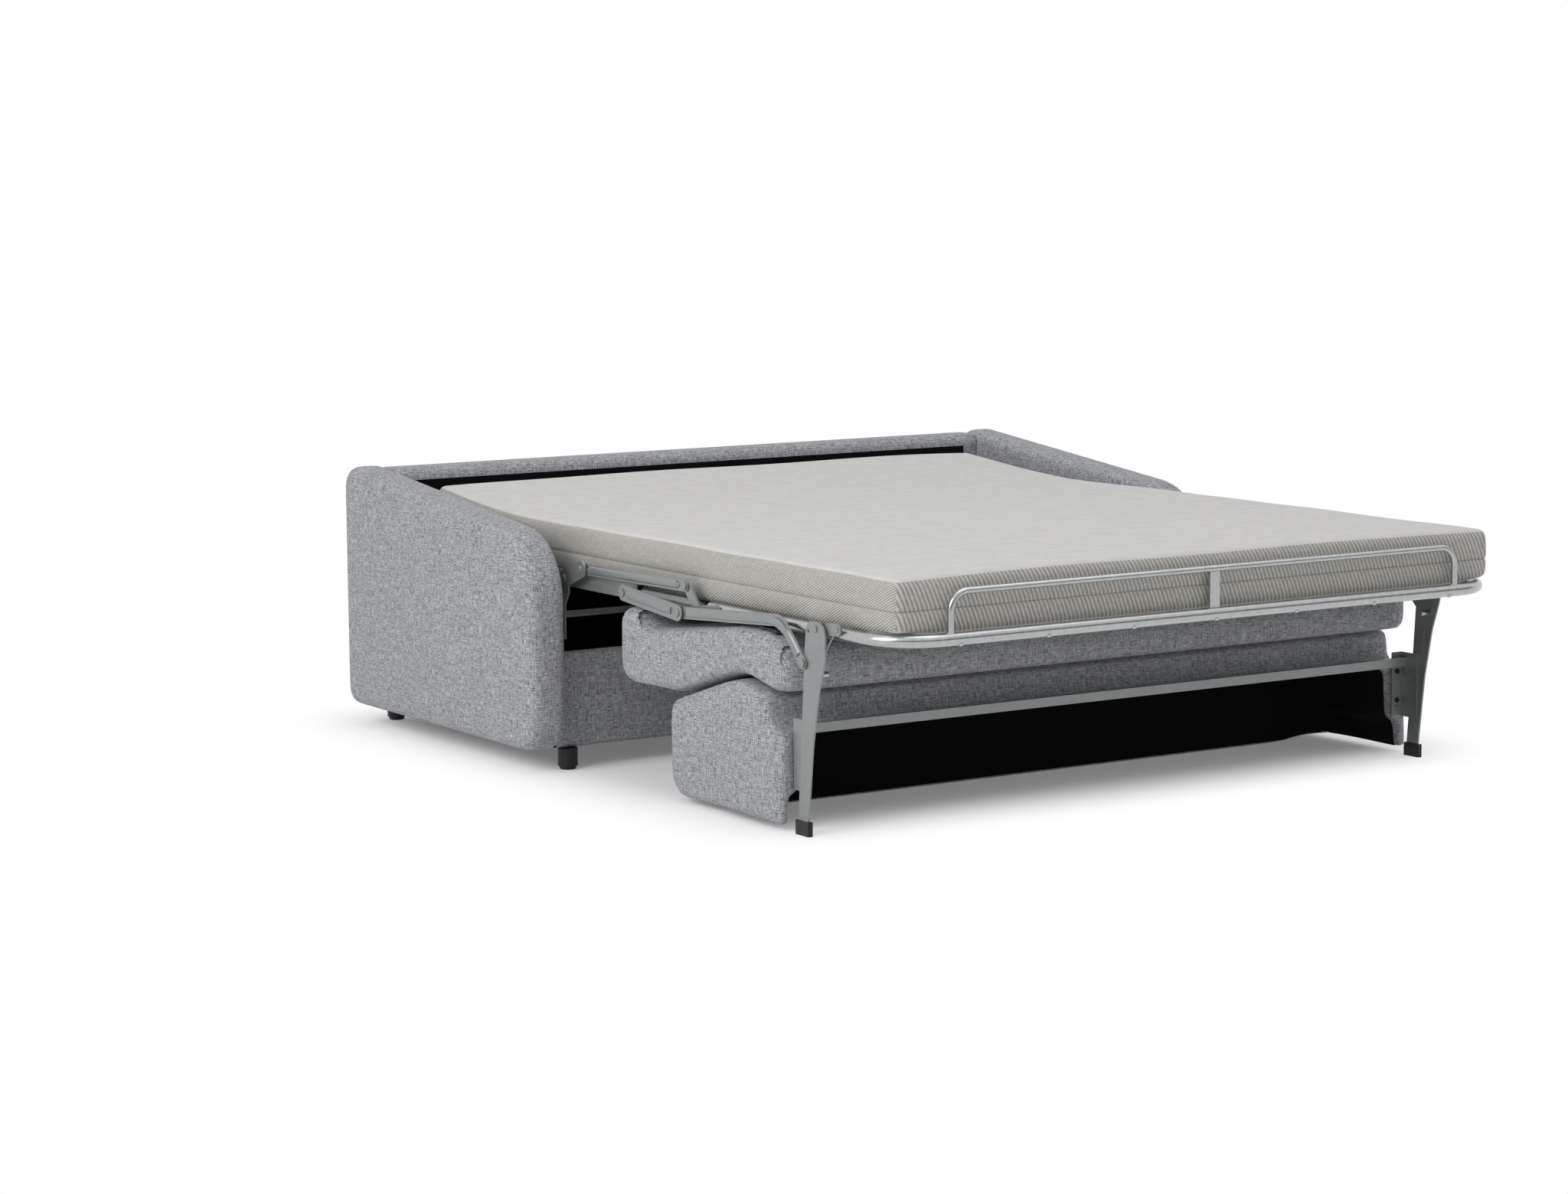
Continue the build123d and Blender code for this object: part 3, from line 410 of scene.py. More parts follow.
@dataclass(frozen=True)
class DarkFinish:
    """Black or dark material with a grain: non-woven lining, powder coat, moulded plastic."""

    name: str
    colour: str
    shade: str
    roughness: float
    grain_mm: float
    depth_mm: float
    gloss: float = 0.4
    relief: float = 0.5
    uneven: float = 0.2
    turns: tuple[float, float] = (0.35, 0.65)

    def build(self) -> bpy.types.Material:
        """Make the finish from nodes.

        Returns:
            The material.
        """
        material, tree, shader = new_material(self.name)
        node = partial(add_node, tree)
        grain = node("TexNoise", {"Vector": node("TexCoord").outputs["Object"], "Detail": 3.0,
                                  "Scale": 1 / (self.grain_mm * MM)})
        rough = node("Math", grain, self.uneven, self.roughness - self.uneven / 2,
                     operation="MULTIPLY_ADD")
        normal = node("Bump", {"Height": grain, "Distance": self.depth_mm * MM, "Strength": self.relief})
        set_inputs(tree, shader, {
            "Base Color": tones(tree, grain, list(zip(self.turns, (self.shade, self.colour)))),
            "Specular IOR Level": self.gloss, "Roughness": rough, "Normal": normal})
        return material


@dataclass(frozen=True)
class WovenBand:
    """Woven polypropylene band: a coarse plain weave with a slight plastic gloss."""

    name: str = "woven_band"
    light: str = "#6a6d70"
    dark: str = "#3f4144"
    # The real threads are about 1.5 mm apart, too fine to show, so they are drawn coarser.
    thread_mm: float = 4.0
    relief_mm: float = 0.5
    relief: float = 0.5
    roughness: float = 0.6
    turns: tuple[float, float] = (-0.6, 0.6)

    def build(self) -> bpy.types.Material:
        """Make the finish from nodes.

        Returns:
            The material.
        """
        material, tree, shader = new_material(self.name)
        node = partial(add_node, tree)
        weave = FacePlane.of(tree).weave(self.thread_mm)
        normal = node("Bump", {"Height": weave, "Distance": self.relief_mm * MM, "Strength": self.relief})
        set_inputs(tree, shader, {
            "Base Color": tones(tree, weave, list(zip(self.turns, (self.dark, self.light)))),
            "Roughness": self.roughness, "Normal": normal})
        return material


@dataclass(frozen=True)
class PlanedSoftwood:
    """Planed pine rail: long grain along the rail, early and late wood bands, matt."""

    name: str = "planed_softwood"
    light: str = "#cfae82"
    dark: str = "#a67d50"
    ring_mm: float = 7.0
    drawn_out: float = 30.0
    relief_mm: float = 0.3
    relief: float = 0.4
    roughness: float = 0.65
    uneven: float = 0.2
    turns: tuple[float, float] = (0.4, 0.6)

    def build(self) -> bpy.types.Material:
        """Make the finish from nodes.

        Returns:
            The material.
        """
        material, tree, shader = new_material(self.name)
        node = partial(add_node, tree)
        scale = 1 / (self.ring_mm * MM)
        drawn = node("Mapping", {0: node("TexCoord").outputs["Object"],
                                 3: (scale / self.drawn_out, scale, scale)})
        grain = node("TexNoise", {"Vector": drawn, "Scale": 1.0, "Detail": 4.0, "Distortion": 0.6})
        rough = node("Math", grain, self.uneven, self.roughness - self.uneven / 2,
                     operation="MULTIPLY_ADD")
        normal = node("Bump", {"Height": grain, "Distance": self.relief_mm * MM, "Strength": self.relief})
        set_inputs(tree, shader, {
            "Base Color": tones(tree, grain, list(zip(self.turns, (self.light, self.dark)))),
            "Roughness": rough, "Normal": normal})
        return material


class Slot(Enum):
    """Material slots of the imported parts, each with its finish."""

    UPHOLSTERY = "upholstery"
    MATTRESS = "mattress_cover"
    LINING = "black_lining"
    TIMBER = "timber"
    BLACK_METAL = "black_metal"
    PLASTIC = "black_plastic"
    WEBBING = "webbing"
    SATIN_TUBE = "satin_tube"
    PRESSED_STEEL = "pressed_steel"


FINISHES = {
    Slot.UPHOLSTERY: MelangeWeave(),
    Slot.MATTRESS: MattressKnit(),
    # Spunbonded polypropylene, pressed hot: dull, deep black, slightly pebbled.
    Slot.LINING: DarkFinish("spunbond_lining", "#0b0b0c", "#060607", 0.9, 3.0, 0.3, 0.12),
    Slot.TIMBER: PlanedSoftwood(),
    # Steel under baked powder: half matt, with a fine orange peel.
    Slot.BLACK_METAL: DarkFinish("black_powder_coat", "#161718", "#0e0f0f", 0.5, 1.6, 0.1),
    # Polypropylene from an etched mould: a low grain with a soft shine.
    Slot.PLASTIC: DarkFinish("moulded_black_plastic", "#141415", "#0d0d0e", 0.45, 2.2, 0.08),
    Slot.WEBBING: WovenBand(),
    # Drawn tube keeps its shine under the coat: clear, soft-edged reflections.
    Slot.SATIN_TUBE: CoatedSteel("satin_tube", "#b6b9b8", "#abaead", 1.0, 0.24),
    # Pressed sheet takes a thicker coat: duller and a tone darker than the tube.
    Slot.PRESSED_STEEL: CoatedSteel("silver_coated_steel", "#8f9292", "#888b8b", 0.6, 0.40),
}


def activate(piece: bpy.types.Object) -> None:
    """Leave one piece alone selected and active."""
    bpy.ops.object.select_all(action="DESELECT")
    piece.select_set(True)
    bpy.context.view_layer.objects.active = piece


def edit(piece: bpy.types.Object, *steps: Callable[[], Any]) -> None:
    """Run edit-mode operators on a piece, each with all of it selected.

    Args:
        piece: the piece to edit.
        *steps: calls made in edit mode, in order.
    """
    activate(piece)
    bpy.ops.object.mode_set(mode="EDIT")
    for step in steps:
        bpy.ops.mesh.select_all(action="SELECT")
        step()
    bpy.ops.object.mode_set(mode="OBJECT")


def cuts(planes: Iterable[tuple[Sequence[float], Sequence[float]]],
         trim: bool = False) -> list[Callable[[], Any]]:
    """Return edit-mode calls that cut a piece by planes.

    Args:
        planes: a point on each plane and its normal.
        trim: True where what lies beyond the plane is cut away.

    Returns:
        One call for each plane.
    """
    return [partial(bpy.ops.mesh.bisect, plane_co=point, plane_no=normal, clear_outer=trim)
            for point, normal in planes]


def select_only(piece: bpy.types.Object, kind: str, chosen: Callable[[Any], bool]) -> None:
    """Select some faces or edges of a piece that is in edit mode, and nothing else.

    Args:
        piece: the piece in edit mode.
        kind: FACE or EDGE.
        chosen: says of a polygon or an edge whether it is selected.
    """
    bpy.ops.mesh.select_mode(type=kind)
    bpy.ops.mesh.select_all(action="DESELECT")
    bpy.ops.object.mode_set(mode="OBJECT")
    for element in piece.data.polygons if kind == "FACE" else piece.data.edges:
        element.select = chosen(element)
    bpy.ops.object.mode_set(mode="EDIT")


def apply_modifier(piece: bpy.types.Object, kind: str, **settings: Any) -> None:
    """Add a modifier and apply it.

    Args:
        piece: the piece that it shapes.
        kind: the modifier's type name.
        **settings: its settings.
    """
    activate(piece)
    made = piece.modifiers.new(kind.lower(), kind)
    for name, value in settings.items():
        setattr(made, name, value)
    bpy.ops.object.modifier_apply(modifier=made.name)


def move_points(piece: bpy.types.Object, shift: Callable[[Vector, Vector], Vector]) -> None:
    """Move each point of a piece.

    Args:
        piece: the piece to shape.
        shift: gives a point's move from its place and its normal.
    """
    mesh = piece.data
    moves = [shift(vertex.co, vertex.normal) for vertex in mesh.vertices]
    for vertex, move in zip(mesh.vertices, moves):
        vertex.co += move
    mesh.update()


def store_pattern(piece: bpy.types.Object) -> None:
    """Store each point's place and normal at rest, so that a pattern bends with the piece.

    Args:
        piece: the piece, in its final shape.
    """
    points = piece.data.vertices
    rest = {REST_PLACE: [v.co for v in points], REST_LOOK: [v.normal for v in points]}
    for name, source in rest.items():
        stored = piece.data.attributes.new(name, "FLOAT_VECTOR", "POINT")
        stored.data.foreach_set("vector", [number for vector in source for number in vector])


def join_pieces(pieces: Sequence[bpy.types.Object], name: str) -> bpy.types.Object:
    """Join pieces into one.

    Args:
        pieces: the pieces to join.
        name: the name of the whole.

    Returns:
        The joined piece.
    """
    activate(pieces[0])
    for piece in pieces:
        piece.select_set(True)
    bpy.ops.object.join()
    pieces[0].name = name
    return pieces[0]


def turned_pin(radius: float, length: float, centre: Vector, axis: Vector, edge: float) -> bpy.types.Object:
    """Return a short turned pin with rounded ends.

    Args:
        radius: its radius in metres.
        length: its length in metres.
        centre: the middle of it.
        axis: the way it points.
        edge: how far its ends are rounded, in metres.

    Returns:
        The pin as a mesh.
    """
    bpy.ops.object.select_all(action="DESELECT")
    bpy.ops.mesh.primitive_cylinder_add(vertices=24, radius=radius, depth=length, location=centre,
                                        rotation=axis.to_track_quat("Z", "Y").to_euler())
    bpy.ops.object.transform_apply(location=True, rotation=True, scale=True)
    pin = bpy.context.object
    apply_modifier(pin, "BEVEL", width=edge, segments=3, limit_method="ANGLE")
    return pin


def finish_piece(piece: bpy.types.Object, material: bpy.types.Material,
                 angle: float = 60.0) -> None:
    """Give a new piece its material and smooth shading.

    Args:
        piece: the finished piece.
        material: the finish.
        angle: edges sharper than this, in degrees, stay sharp.
    """
    piece.data.materials.clear()
    piece.data.materials.append(material)
    activate(piece)
    bpy.ops.object.shade_smooth_by_angle(angle=math.radians(angle))
    LOG.info("%s: %d faces", piece.name, len(piece.data.polygons))


def bell(distance: float, width: float) -> float:
    """Return a soft hump, one at no distance and nothing at the width."""
    share = min(abs(distance) / width, 1.0)
    return (1 - share * share) ** 2


@dataclass
class SofaBed:
    """What every sub-assembly needs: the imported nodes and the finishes."""

    nodes: dict[str, bpy.types.Object]
    materials: dict[Slot, bpy.types.Material]

    def dress_nodes(self, record: dict[str, Any]) -> None:
        """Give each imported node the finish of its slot.

        Args:
            record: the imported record, which names each node's slot.
        """
        for part in record["subparts"]:
            node = self.nodes[part["node"]]
            node.data.materials.clear()
            node.data.materials.append(self.materials[Slot(part["material_slot"])])

    def padded_copy(self, node: str, voxel_mm: float, rounds: int = 4) -> bpy.types.Object:
        """Return an evenly meshed, softened copy of a soft node.

        Args:
            node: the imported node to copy.
            voxel_mm: size of the new faces.
            rounds: how often the copy is smoothed.

        Returns:
            The copy, ready to be shaped.
        """
        piece = bpy.data.objects.new(f"{node}_cover", self.nodes[node].data.copy())
        bpy.context.scene.collection.objects.link(piece)
        edit(piece, partial(bpy.ops.mesh.remove_doubles, threshold=0.02 * MM))
        apply_modifier(piece, "REMESH", mode="VOXEL", voxel_size=voxel_mm * MM)
        apply_modifier(piece, "SMOOTH", factor=0.5, iterations=rounds)
        return piece


@dataclass
class Shell:
    """Upholstered arms, back and apron of the standing base."""

    bed: SofaBed
    voxel_mm: float = 7.0
    arm_crown_mm: float = 5.0
    arm_softening: int = 14
    face_look: float = 0.6

    def arm(self, node: str) -> bpy.types.Object:
        """Return an arm, its two faces gently crowned.

        Args:
            node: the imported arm.

        Returns:
            The arm's cover.
        """
        low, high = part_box(node)
        piece = self.bed.padded_copy(node, self.voxel_mm, self.arm_softening)

        def crown(place: Vector, look: Vector) -> Vector:
            """Swell either face, most in the middle.

            Args:
                place: a point of the cover.
                look: its normal.

            Returns:
                The point's move.
            """
            if abs(look.x) <= self.face_look:
                return Vector((0, 0, 0))
            along = 2 * (place.y - low[1]) / (high[1] - low[1]) - 1
            up = 2 * (place.z - low[2]) / (high[2] - low[2]) - 1
            swell = max(0.0, 1 - along ** 4) * max(0.0, 1 - up ** 4)
            return Vector((math.copysign(self.arm_crown_mm * MM * swell, look.x), 0, 0))

        move_points(piece, crown)
        return piece

    def build(self) -> None:
        """Make the base's upholstery."""
        for node in ("left_arm", "right_arm"):
            self.place(self.arm(node), node)
        for node in ("back_panel", "front_apron"):
            self.place(self.bed.padded_copy(node, self.voxel_mm), node)

    def place(self, piece: bpy.types.Object, node: str) -> None:
        """Finish a cover and put it in place of its node.

        Args:
            piece: the cover.
            node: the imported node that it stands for.
        """
        finish_piece(piece, self.bed.materials[Slot.UPHOLSTERY])
        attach(piece, "base")
        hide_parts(node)


@dataclass
class Cushion:
    """A sofa cushion turned over under the bed: seat or backrest."""

    bed: SofaBed
    node: str
    body: str
    # 1 where the face that meets the other cushion looks up, -1 where it looks down.
    meets: int
    settle_mm: float = 3.0
    voxel_mm: float = 13.0
    softening: int = 2
    tuck_mm: float = 3.0
    pressure: float = 4.0
    quality: int = 5
    frames: int = 20
    cap_mm: float = 5.0
    swell_mm: float = 3.0
    crest_mm: float = 1652.0
    crest_drop_mm: float = 5.0
    crest_run_mm: float = 95.0
    crest_height_mm: float = 300.0
    crest_half_mm: float = 45.0
    seam_mm: float = 1.6
    seam_look: float = 0.74
    seam_spread: float = 0.22
    band_seam_mm: float | None = None
    band_lean: float = 0.35
    band_look: float = -0.5

    def fill(self, place: Vector, look: Vector) -> Vector:
        """Fill out the ends, settle the face that meets the other cushion and round the crest.

        Args:
            place: a point of the cover.
            look: its normal.

        Returns:
            The point's move.
        """
        depth, height = (REAR_Y - place.y) / MM, place.z / MM
        swell = self.swell_mm * (look.x ** 2 + max(0.0, look.y) ** 2)
        swell -= self.settle_mm * max(0.0, look.z * self.meets)
        drop = self.crest_drop_mm * bell(depth - self.crest_mm, self.crest_run_mm)
        drop *= bell(height - self.crest_height_mm, self.crest_half_mm)
        return look * (swell * MM) - Vector((0, 0, drop * MM))

    def sew(self, place: Vector, look: Vector) -> Vector:
        """Pull the seams in, round the ends and along the band.

        Args:
            place: a point of the cover.
            look: its normal.

        Returns:
            The point's move.
        """
        pull = bell(abs(look.x) - self.seam_look, self.seam_spread)
        lean = 0.0
        if self.band_seam_mm is not None and look.y < self.band_look:
            lean = self.band_lean * max(0.0, place.z / MM - self.band_seam_mm)
        return look * (-self.seam_mm * MM * pull) + Vector((0, lean * MM, 0))

    def stuff(self, piece: bpy.types.Object) -> None:
        """Fill the cover by a short cloth simulation from a slightly smaller shape, and apply it.

        Args:
            piece: the cover, evenly meshed.
        """
        move_points(piece, lambda place, look: look * (-self.tuck_mm * MM))
        start = [vertex.co.copy() for vertex in piece.data.vertices]
        activate(piece)
        cloth = piece.modifiers.new("filling", "CLOTH")
        cloth.settings.quality = self.quality
        cloth.settings.use_pressure = True
        cloth.settings.uniform_pressure_force = self.pressure
        cloth.settings.effector_weights.gravity = 0.0
        cloth.point_cache.frame_start, cloth.point_cache.frame_end = 1, self.frames
        for number in range(1, self.frames + 1):
            bpy.context.scene.frame_set(number)
        bpy.ops.object.modifier_apply(modifier=cloth.name)
        bpy.context.scene.frame_set(1)
        cap = self.cap_mm * MM
        for vertex, before in zip(piece.data.vertices, start):
            move = vertex.co - before
            if move.length > cap:
                vertex.co = before + move * (cap / move.length)
        apply_modifier(piece, "SMOOTH", factor=0.5, iterations=2)
        apply_modifier(piece, "SUBSURF", levels=1, render_levels=1)

    def build(self) -> bpy.types.Object:
        """Make the cushion in place of its node.

        Returns:
            The finished cover.
        """
        piece = self.bed.padded_copy(self.node, self.voxel_mm, self.softening)
        self.stuff(piece)
        move_points(piece, self.fill)
        move_points(piece, self.sew)
        finish_piece(piece, self.bed.materials[Slot.UPHOLSTERY])
        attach(piece, self.body)
        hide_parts(self.node)
        return piece


@dataclass
class HollowLining:
    """Black lining stuck over the inside of the backrest's hollow, all but its rim."""

    bed: SofaBed
    half_mm: float = 838.0
    head_mm: float = 1573.0
    foot_mm: float = 1803.0
    bottom_mm: float = 10.0
    top_mm: float = 197.0
    slack_mm: float = 9.0
    thick_mm: float = 1.6
    proud_mm: float = 0.3
    rim_look: float = -0.85
    rim_clear_mm: float = 60.0
    flat_look: float = 0.6
    under_mm: float = 20.0
    outer_look: float = 0.5

    def lines(self, face: bpy.types.MeshPolygon) -> bool:
        """Say whether a face of the cushion lies inside the hollow.

        Args:
            face: a face of the cushion's cover.

        Returns:
            True where the lining covers it.
        """
        place, look = face.center, face.normal
        depth = (REAR_Y - place.y) / MM
        within = (self.head_mm - self.slack_mm < depth < self.foot_mm
                  and abs(place.x) < (self.half_mm + self.slack_mm) * MM
                  and place.z < (self.top_mm + self.slack_mm) * MM)
        rim = look.y < self.rim_look and depth > self.head_mm + self.rim_clear_mm
        underside = look.z < -self.flat_look and place.z < self.under_mm * MM
        outer = place.x * look.x > self.outer_look * abs(place.x)
        return within and not (rim or underside or outer or look.z > self.flat_look)

    def build(self, cushion: bpy.types.Object) -> None:
        """Make the lining from the cushion's own inner faces.

        Args:
            cushion: the finished backrest.
        """
        piece = bpy.data.objects.new("backrest_hollow_lining", cushion.data.copy())
        bpy.context.scene.collection.objects.link(piece)

        def keep_hollow() -> None:
            """Delete the faces outside the hollow."""
            select_only(piece, "FACE", lambda face: not self.lines(face))
            bpy.ops.mesh.delete(type="FACE")

        trims = (((0, at_depth(self.foot_mm), 0), (0, -1, 0)),
                 ((0, 0, self.bottom_mm * MM), (0, 0, -1)))
        edit(piece, *cuts(trims, trim=True), keep_hollow)
        move_points(piece, lambda place, look: look * (self.proud_mm * MM))
        apply_modifier(piece, "SOLIDIFY", thickness=self.thick_mm * MM, offset=1.0)
        finish_piece(piece, self.bed.materials[Slot.LINING])
        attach(piece, "leg_frame")
        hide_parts("backrest_lining")


@dataclass
class Mattress:
    """Foam mattress in one knitted cover, made as two stretches that meet at the middle."""

    bed: SofaBed
    half_mm: float = 800.0
    bottom_mm: float = 435.0
    top_mm: float = 555.0
    head_mm: float = 165.0
    middle_mm: float = 1302.0
    foot_mm: float = 2148.0
    bends_mm: tuple[float, float] = (1014.0, 1590.0)
    bend_height_mm: float = 430.0
    rise_mm: float = 37.0
    rise_start_mm: float = 640.0
    rise_power: float = 1.35
    edge_mm: float = 18.0
    sharp_edge: float = 50.0
    seam_mm: float = 489.0
    seam_half_mm: float = 7.0
    seam_depth_mm: float = 2.5
    crown_mm: float = 5.0
    ripple_mm: float = 1.2
    ripple_across: float = 9.0
    ripple_along: float = 11.0
    ripple_start: float = 0.6
    sway: float = 1.3
    sway_along: float = 7.0
    bulge_mm: float = 3.0
    notch_mm: float = 11.0
    notch_run_mm: float = 110.0
    notch_corner_mm: tuple[float, float] = (801.0, 2150.0)
    margin_mm: float = 20.0
    along_step_mm: float = 16.0
    across_step_mm: float = 26.0
    # The cuts stand closer round the border seam, which sinks in.
    cut_heights_mm: tuple[float, ...] = (452.0, 468.0, 480.0, 484.0, 486.5, 489.0, 491.5, 494.0, 498.0,
                                         510.0, 524.0, 538.0)

    def slab(self, name: str, start_mm: float, end_mm: float, joint_mm: float) -> bpy.types.Object:
        """Return a stretch of the mattress, rounded all round except where it meets the other.

        Args:
            name: the piece's name.
            start_mm: depth of its head end.
            end_mm: depth of its foot end.
            joint_mm: depth at which the two stretches meet.

        Returns:
            The stretch, cut finely enough to bend.
        """
        bpy.ops.object.select_all(action="DESELECT")
        size = (2 * self.half_mm * MM, (end_mm - start_mm) * MM, (self.top_mm - self.bottom_mm) * MM)
        centre = (0, at_depth((start_mm + end_mm) / 2), (self.top_mm + self.bottom_mm) / 2 * MM)
        bpy.ops.mesh.primitive_cube_add(size=1, location=centre, scale=size)
        piece = bpy.context.object
        piece.name = name
        bpy.ops.object.transform_apply(location=True, rotation=True, scale=True)
        joint_y = at_depth(joint_mm)

        def round_edges() -> None:
            """Round every edge but those of the joint."""
            points = piece.data.vertices
            select_only(piece, "EDGE", lambda edge: not all(abs(points[i].co.y - joint_y) < MM
                                                            for i in edge.vertices))
            bpy.ops.mesh.bevel(offset=self.edge_mm * MM, segments=4, profile=0.5)

        def open_joint() -> None:
            """Delete the face at the joint, so that the rims of the two stretches keep one shape."""
            select_only(piece, "FACE", lambda face: abs(face.center.y - joint_y) < 0.1 * MM)
            bpy.ops.mesh.delete(type="FACE")

        def close_joint() -> None:
            """Close the joint again by one face."""
            bpy.ops.mesh.select_all(action="DESELECT")
            bpy.ops.mesh.select_mode(type="EDGE")
            bpy.ops.mesh.select_non_manifold()
            bpy.ops.mesh.edge_face_add()

        depths = self.steps(start_mm + self.margin_mm, end_mm - self.margin_mm, self.along_step_mm)
        reach = self.half_mm - self.margin_mm
        planes = [((0, at_depth(depth), 0), (0, 1, 0)) for depth in depths]
        planes += [((x * MM, 0, 0), (1, 0, 0)) for x in self.steps(-reach, reach, self.across_step_mm)]
        planes += [((0, 0, height * MM), (0, 0, 1)) for height in self.cut_heights_mm]
        edit(piece, round_edges, *cuts(planes))
        edit(piece, open_joint)
        move_points(piece, self.shape)
        store_pattern(piece)
        edit(piece, close_joint, partial(bpy.ops.mesh.normals_make_consistent, inside=False))
        return piece

    @staticmethod
    def steps(start: float, end: float, pitch: float) -> list[float]:
        """Return places spread evenly from start to end, about a pitch apart."""
        count = max(1, round((end - start) / pitch))
        return [start + (end - start) * i / count for i in range(count + 1)]

    def shape(self, place: Vector, look: Vector) -> Vector:
        """Raise the head end, crown the top, bulge the border and sink its seam.

        Args:
            place: a point of the cover.
            look: its normal.

        Returns:
            The point's move.
        """
        depth, height = (REAR_Y - place.y) / MM, place.z / MM
        up = (height - self.bottom_mm) / (self.top_mm - self.bottom_mm)
        run = max(0.0, (self.rise_start_mm - depth) / (self.rise_start_mm - self.head_mm))
        lift = self.rise_mm * run ** self.rise_power * up
        across = place.x / (self.half_mm * MM)
        lift += self.crown_mm * up ** 3 * (1 - across ** 6)
        # Shallow waves keep the top from lying dead flat.
        sway = self.sway * math.sin(place.y * self.sway_along)
        wave = math.sin(place.x * self.ripple_across + sway)
        wave *= math.sin(place.y * self.ripple_along + self.ripple_start)
        lift += self.ripple_mm * up ** 3 * wave
        # The lower foot corners lift clear of the bent tube.
        aside, ahead = self.notch_corner_mm
        notch = self.notch_mm * bell(max(0.0, ahead - depth), self.notch_run_mm)
        notch *= bell(max(0.0, aside - abs(place.x) / MM), self.notch_run_mm)
        lift += notch * (1 - min(1.0, max(0.0, up) * 3))
        upright = 1 - abs(look.z)
        level = bell(height - self.seam_mm, self.seam_half_mm) * upright
        bulge = self.bulge_mm * math.sin(math.pi * min(1.0, max(0.0, up))) * upright
        out = (bulge - self.seam_depth_mm * level) * MM
        return Vector((look.x * out, look.y * out, lift * MM))

    def build(self) -> None:
        """Make the two stretches, finish them and hide the nodes they stand for."""
        head = self.slab("mattress_head_cover", self.head_mm, self.middle_mm, self.middle_mm)
        foot = self.slab("mattress_foot_cover", self.middle_mm, self.foot_mm, self.middle_mm)
        pairs = ((head, "base", "mid_section", self.bends_mm[0], self.middle_mm,
                  ("mattress_head", "mattress_bend")),
                 (foot, "mid_section", "foot_section", self.middle_mm, self.bends_mm[1],
                  ("mattress_foot",)))
        for piece, first, second, start, end, nodes in pairs:
            finish_piece(piece, self.bed.materials[Slot.MATTRESS], self.sharp_edge)
            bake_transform(piece)
            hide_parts(*nodes)


@dataclass(frozen=True)
class Bead:
    """A rounded rib pressed along a link: its body, its outer face and its run in depth and height."""

    name: str
    body: str
    face_mm: float
    run_mm: tuple[tuple[float, float], ...]
    corner_mm: float = 0.0


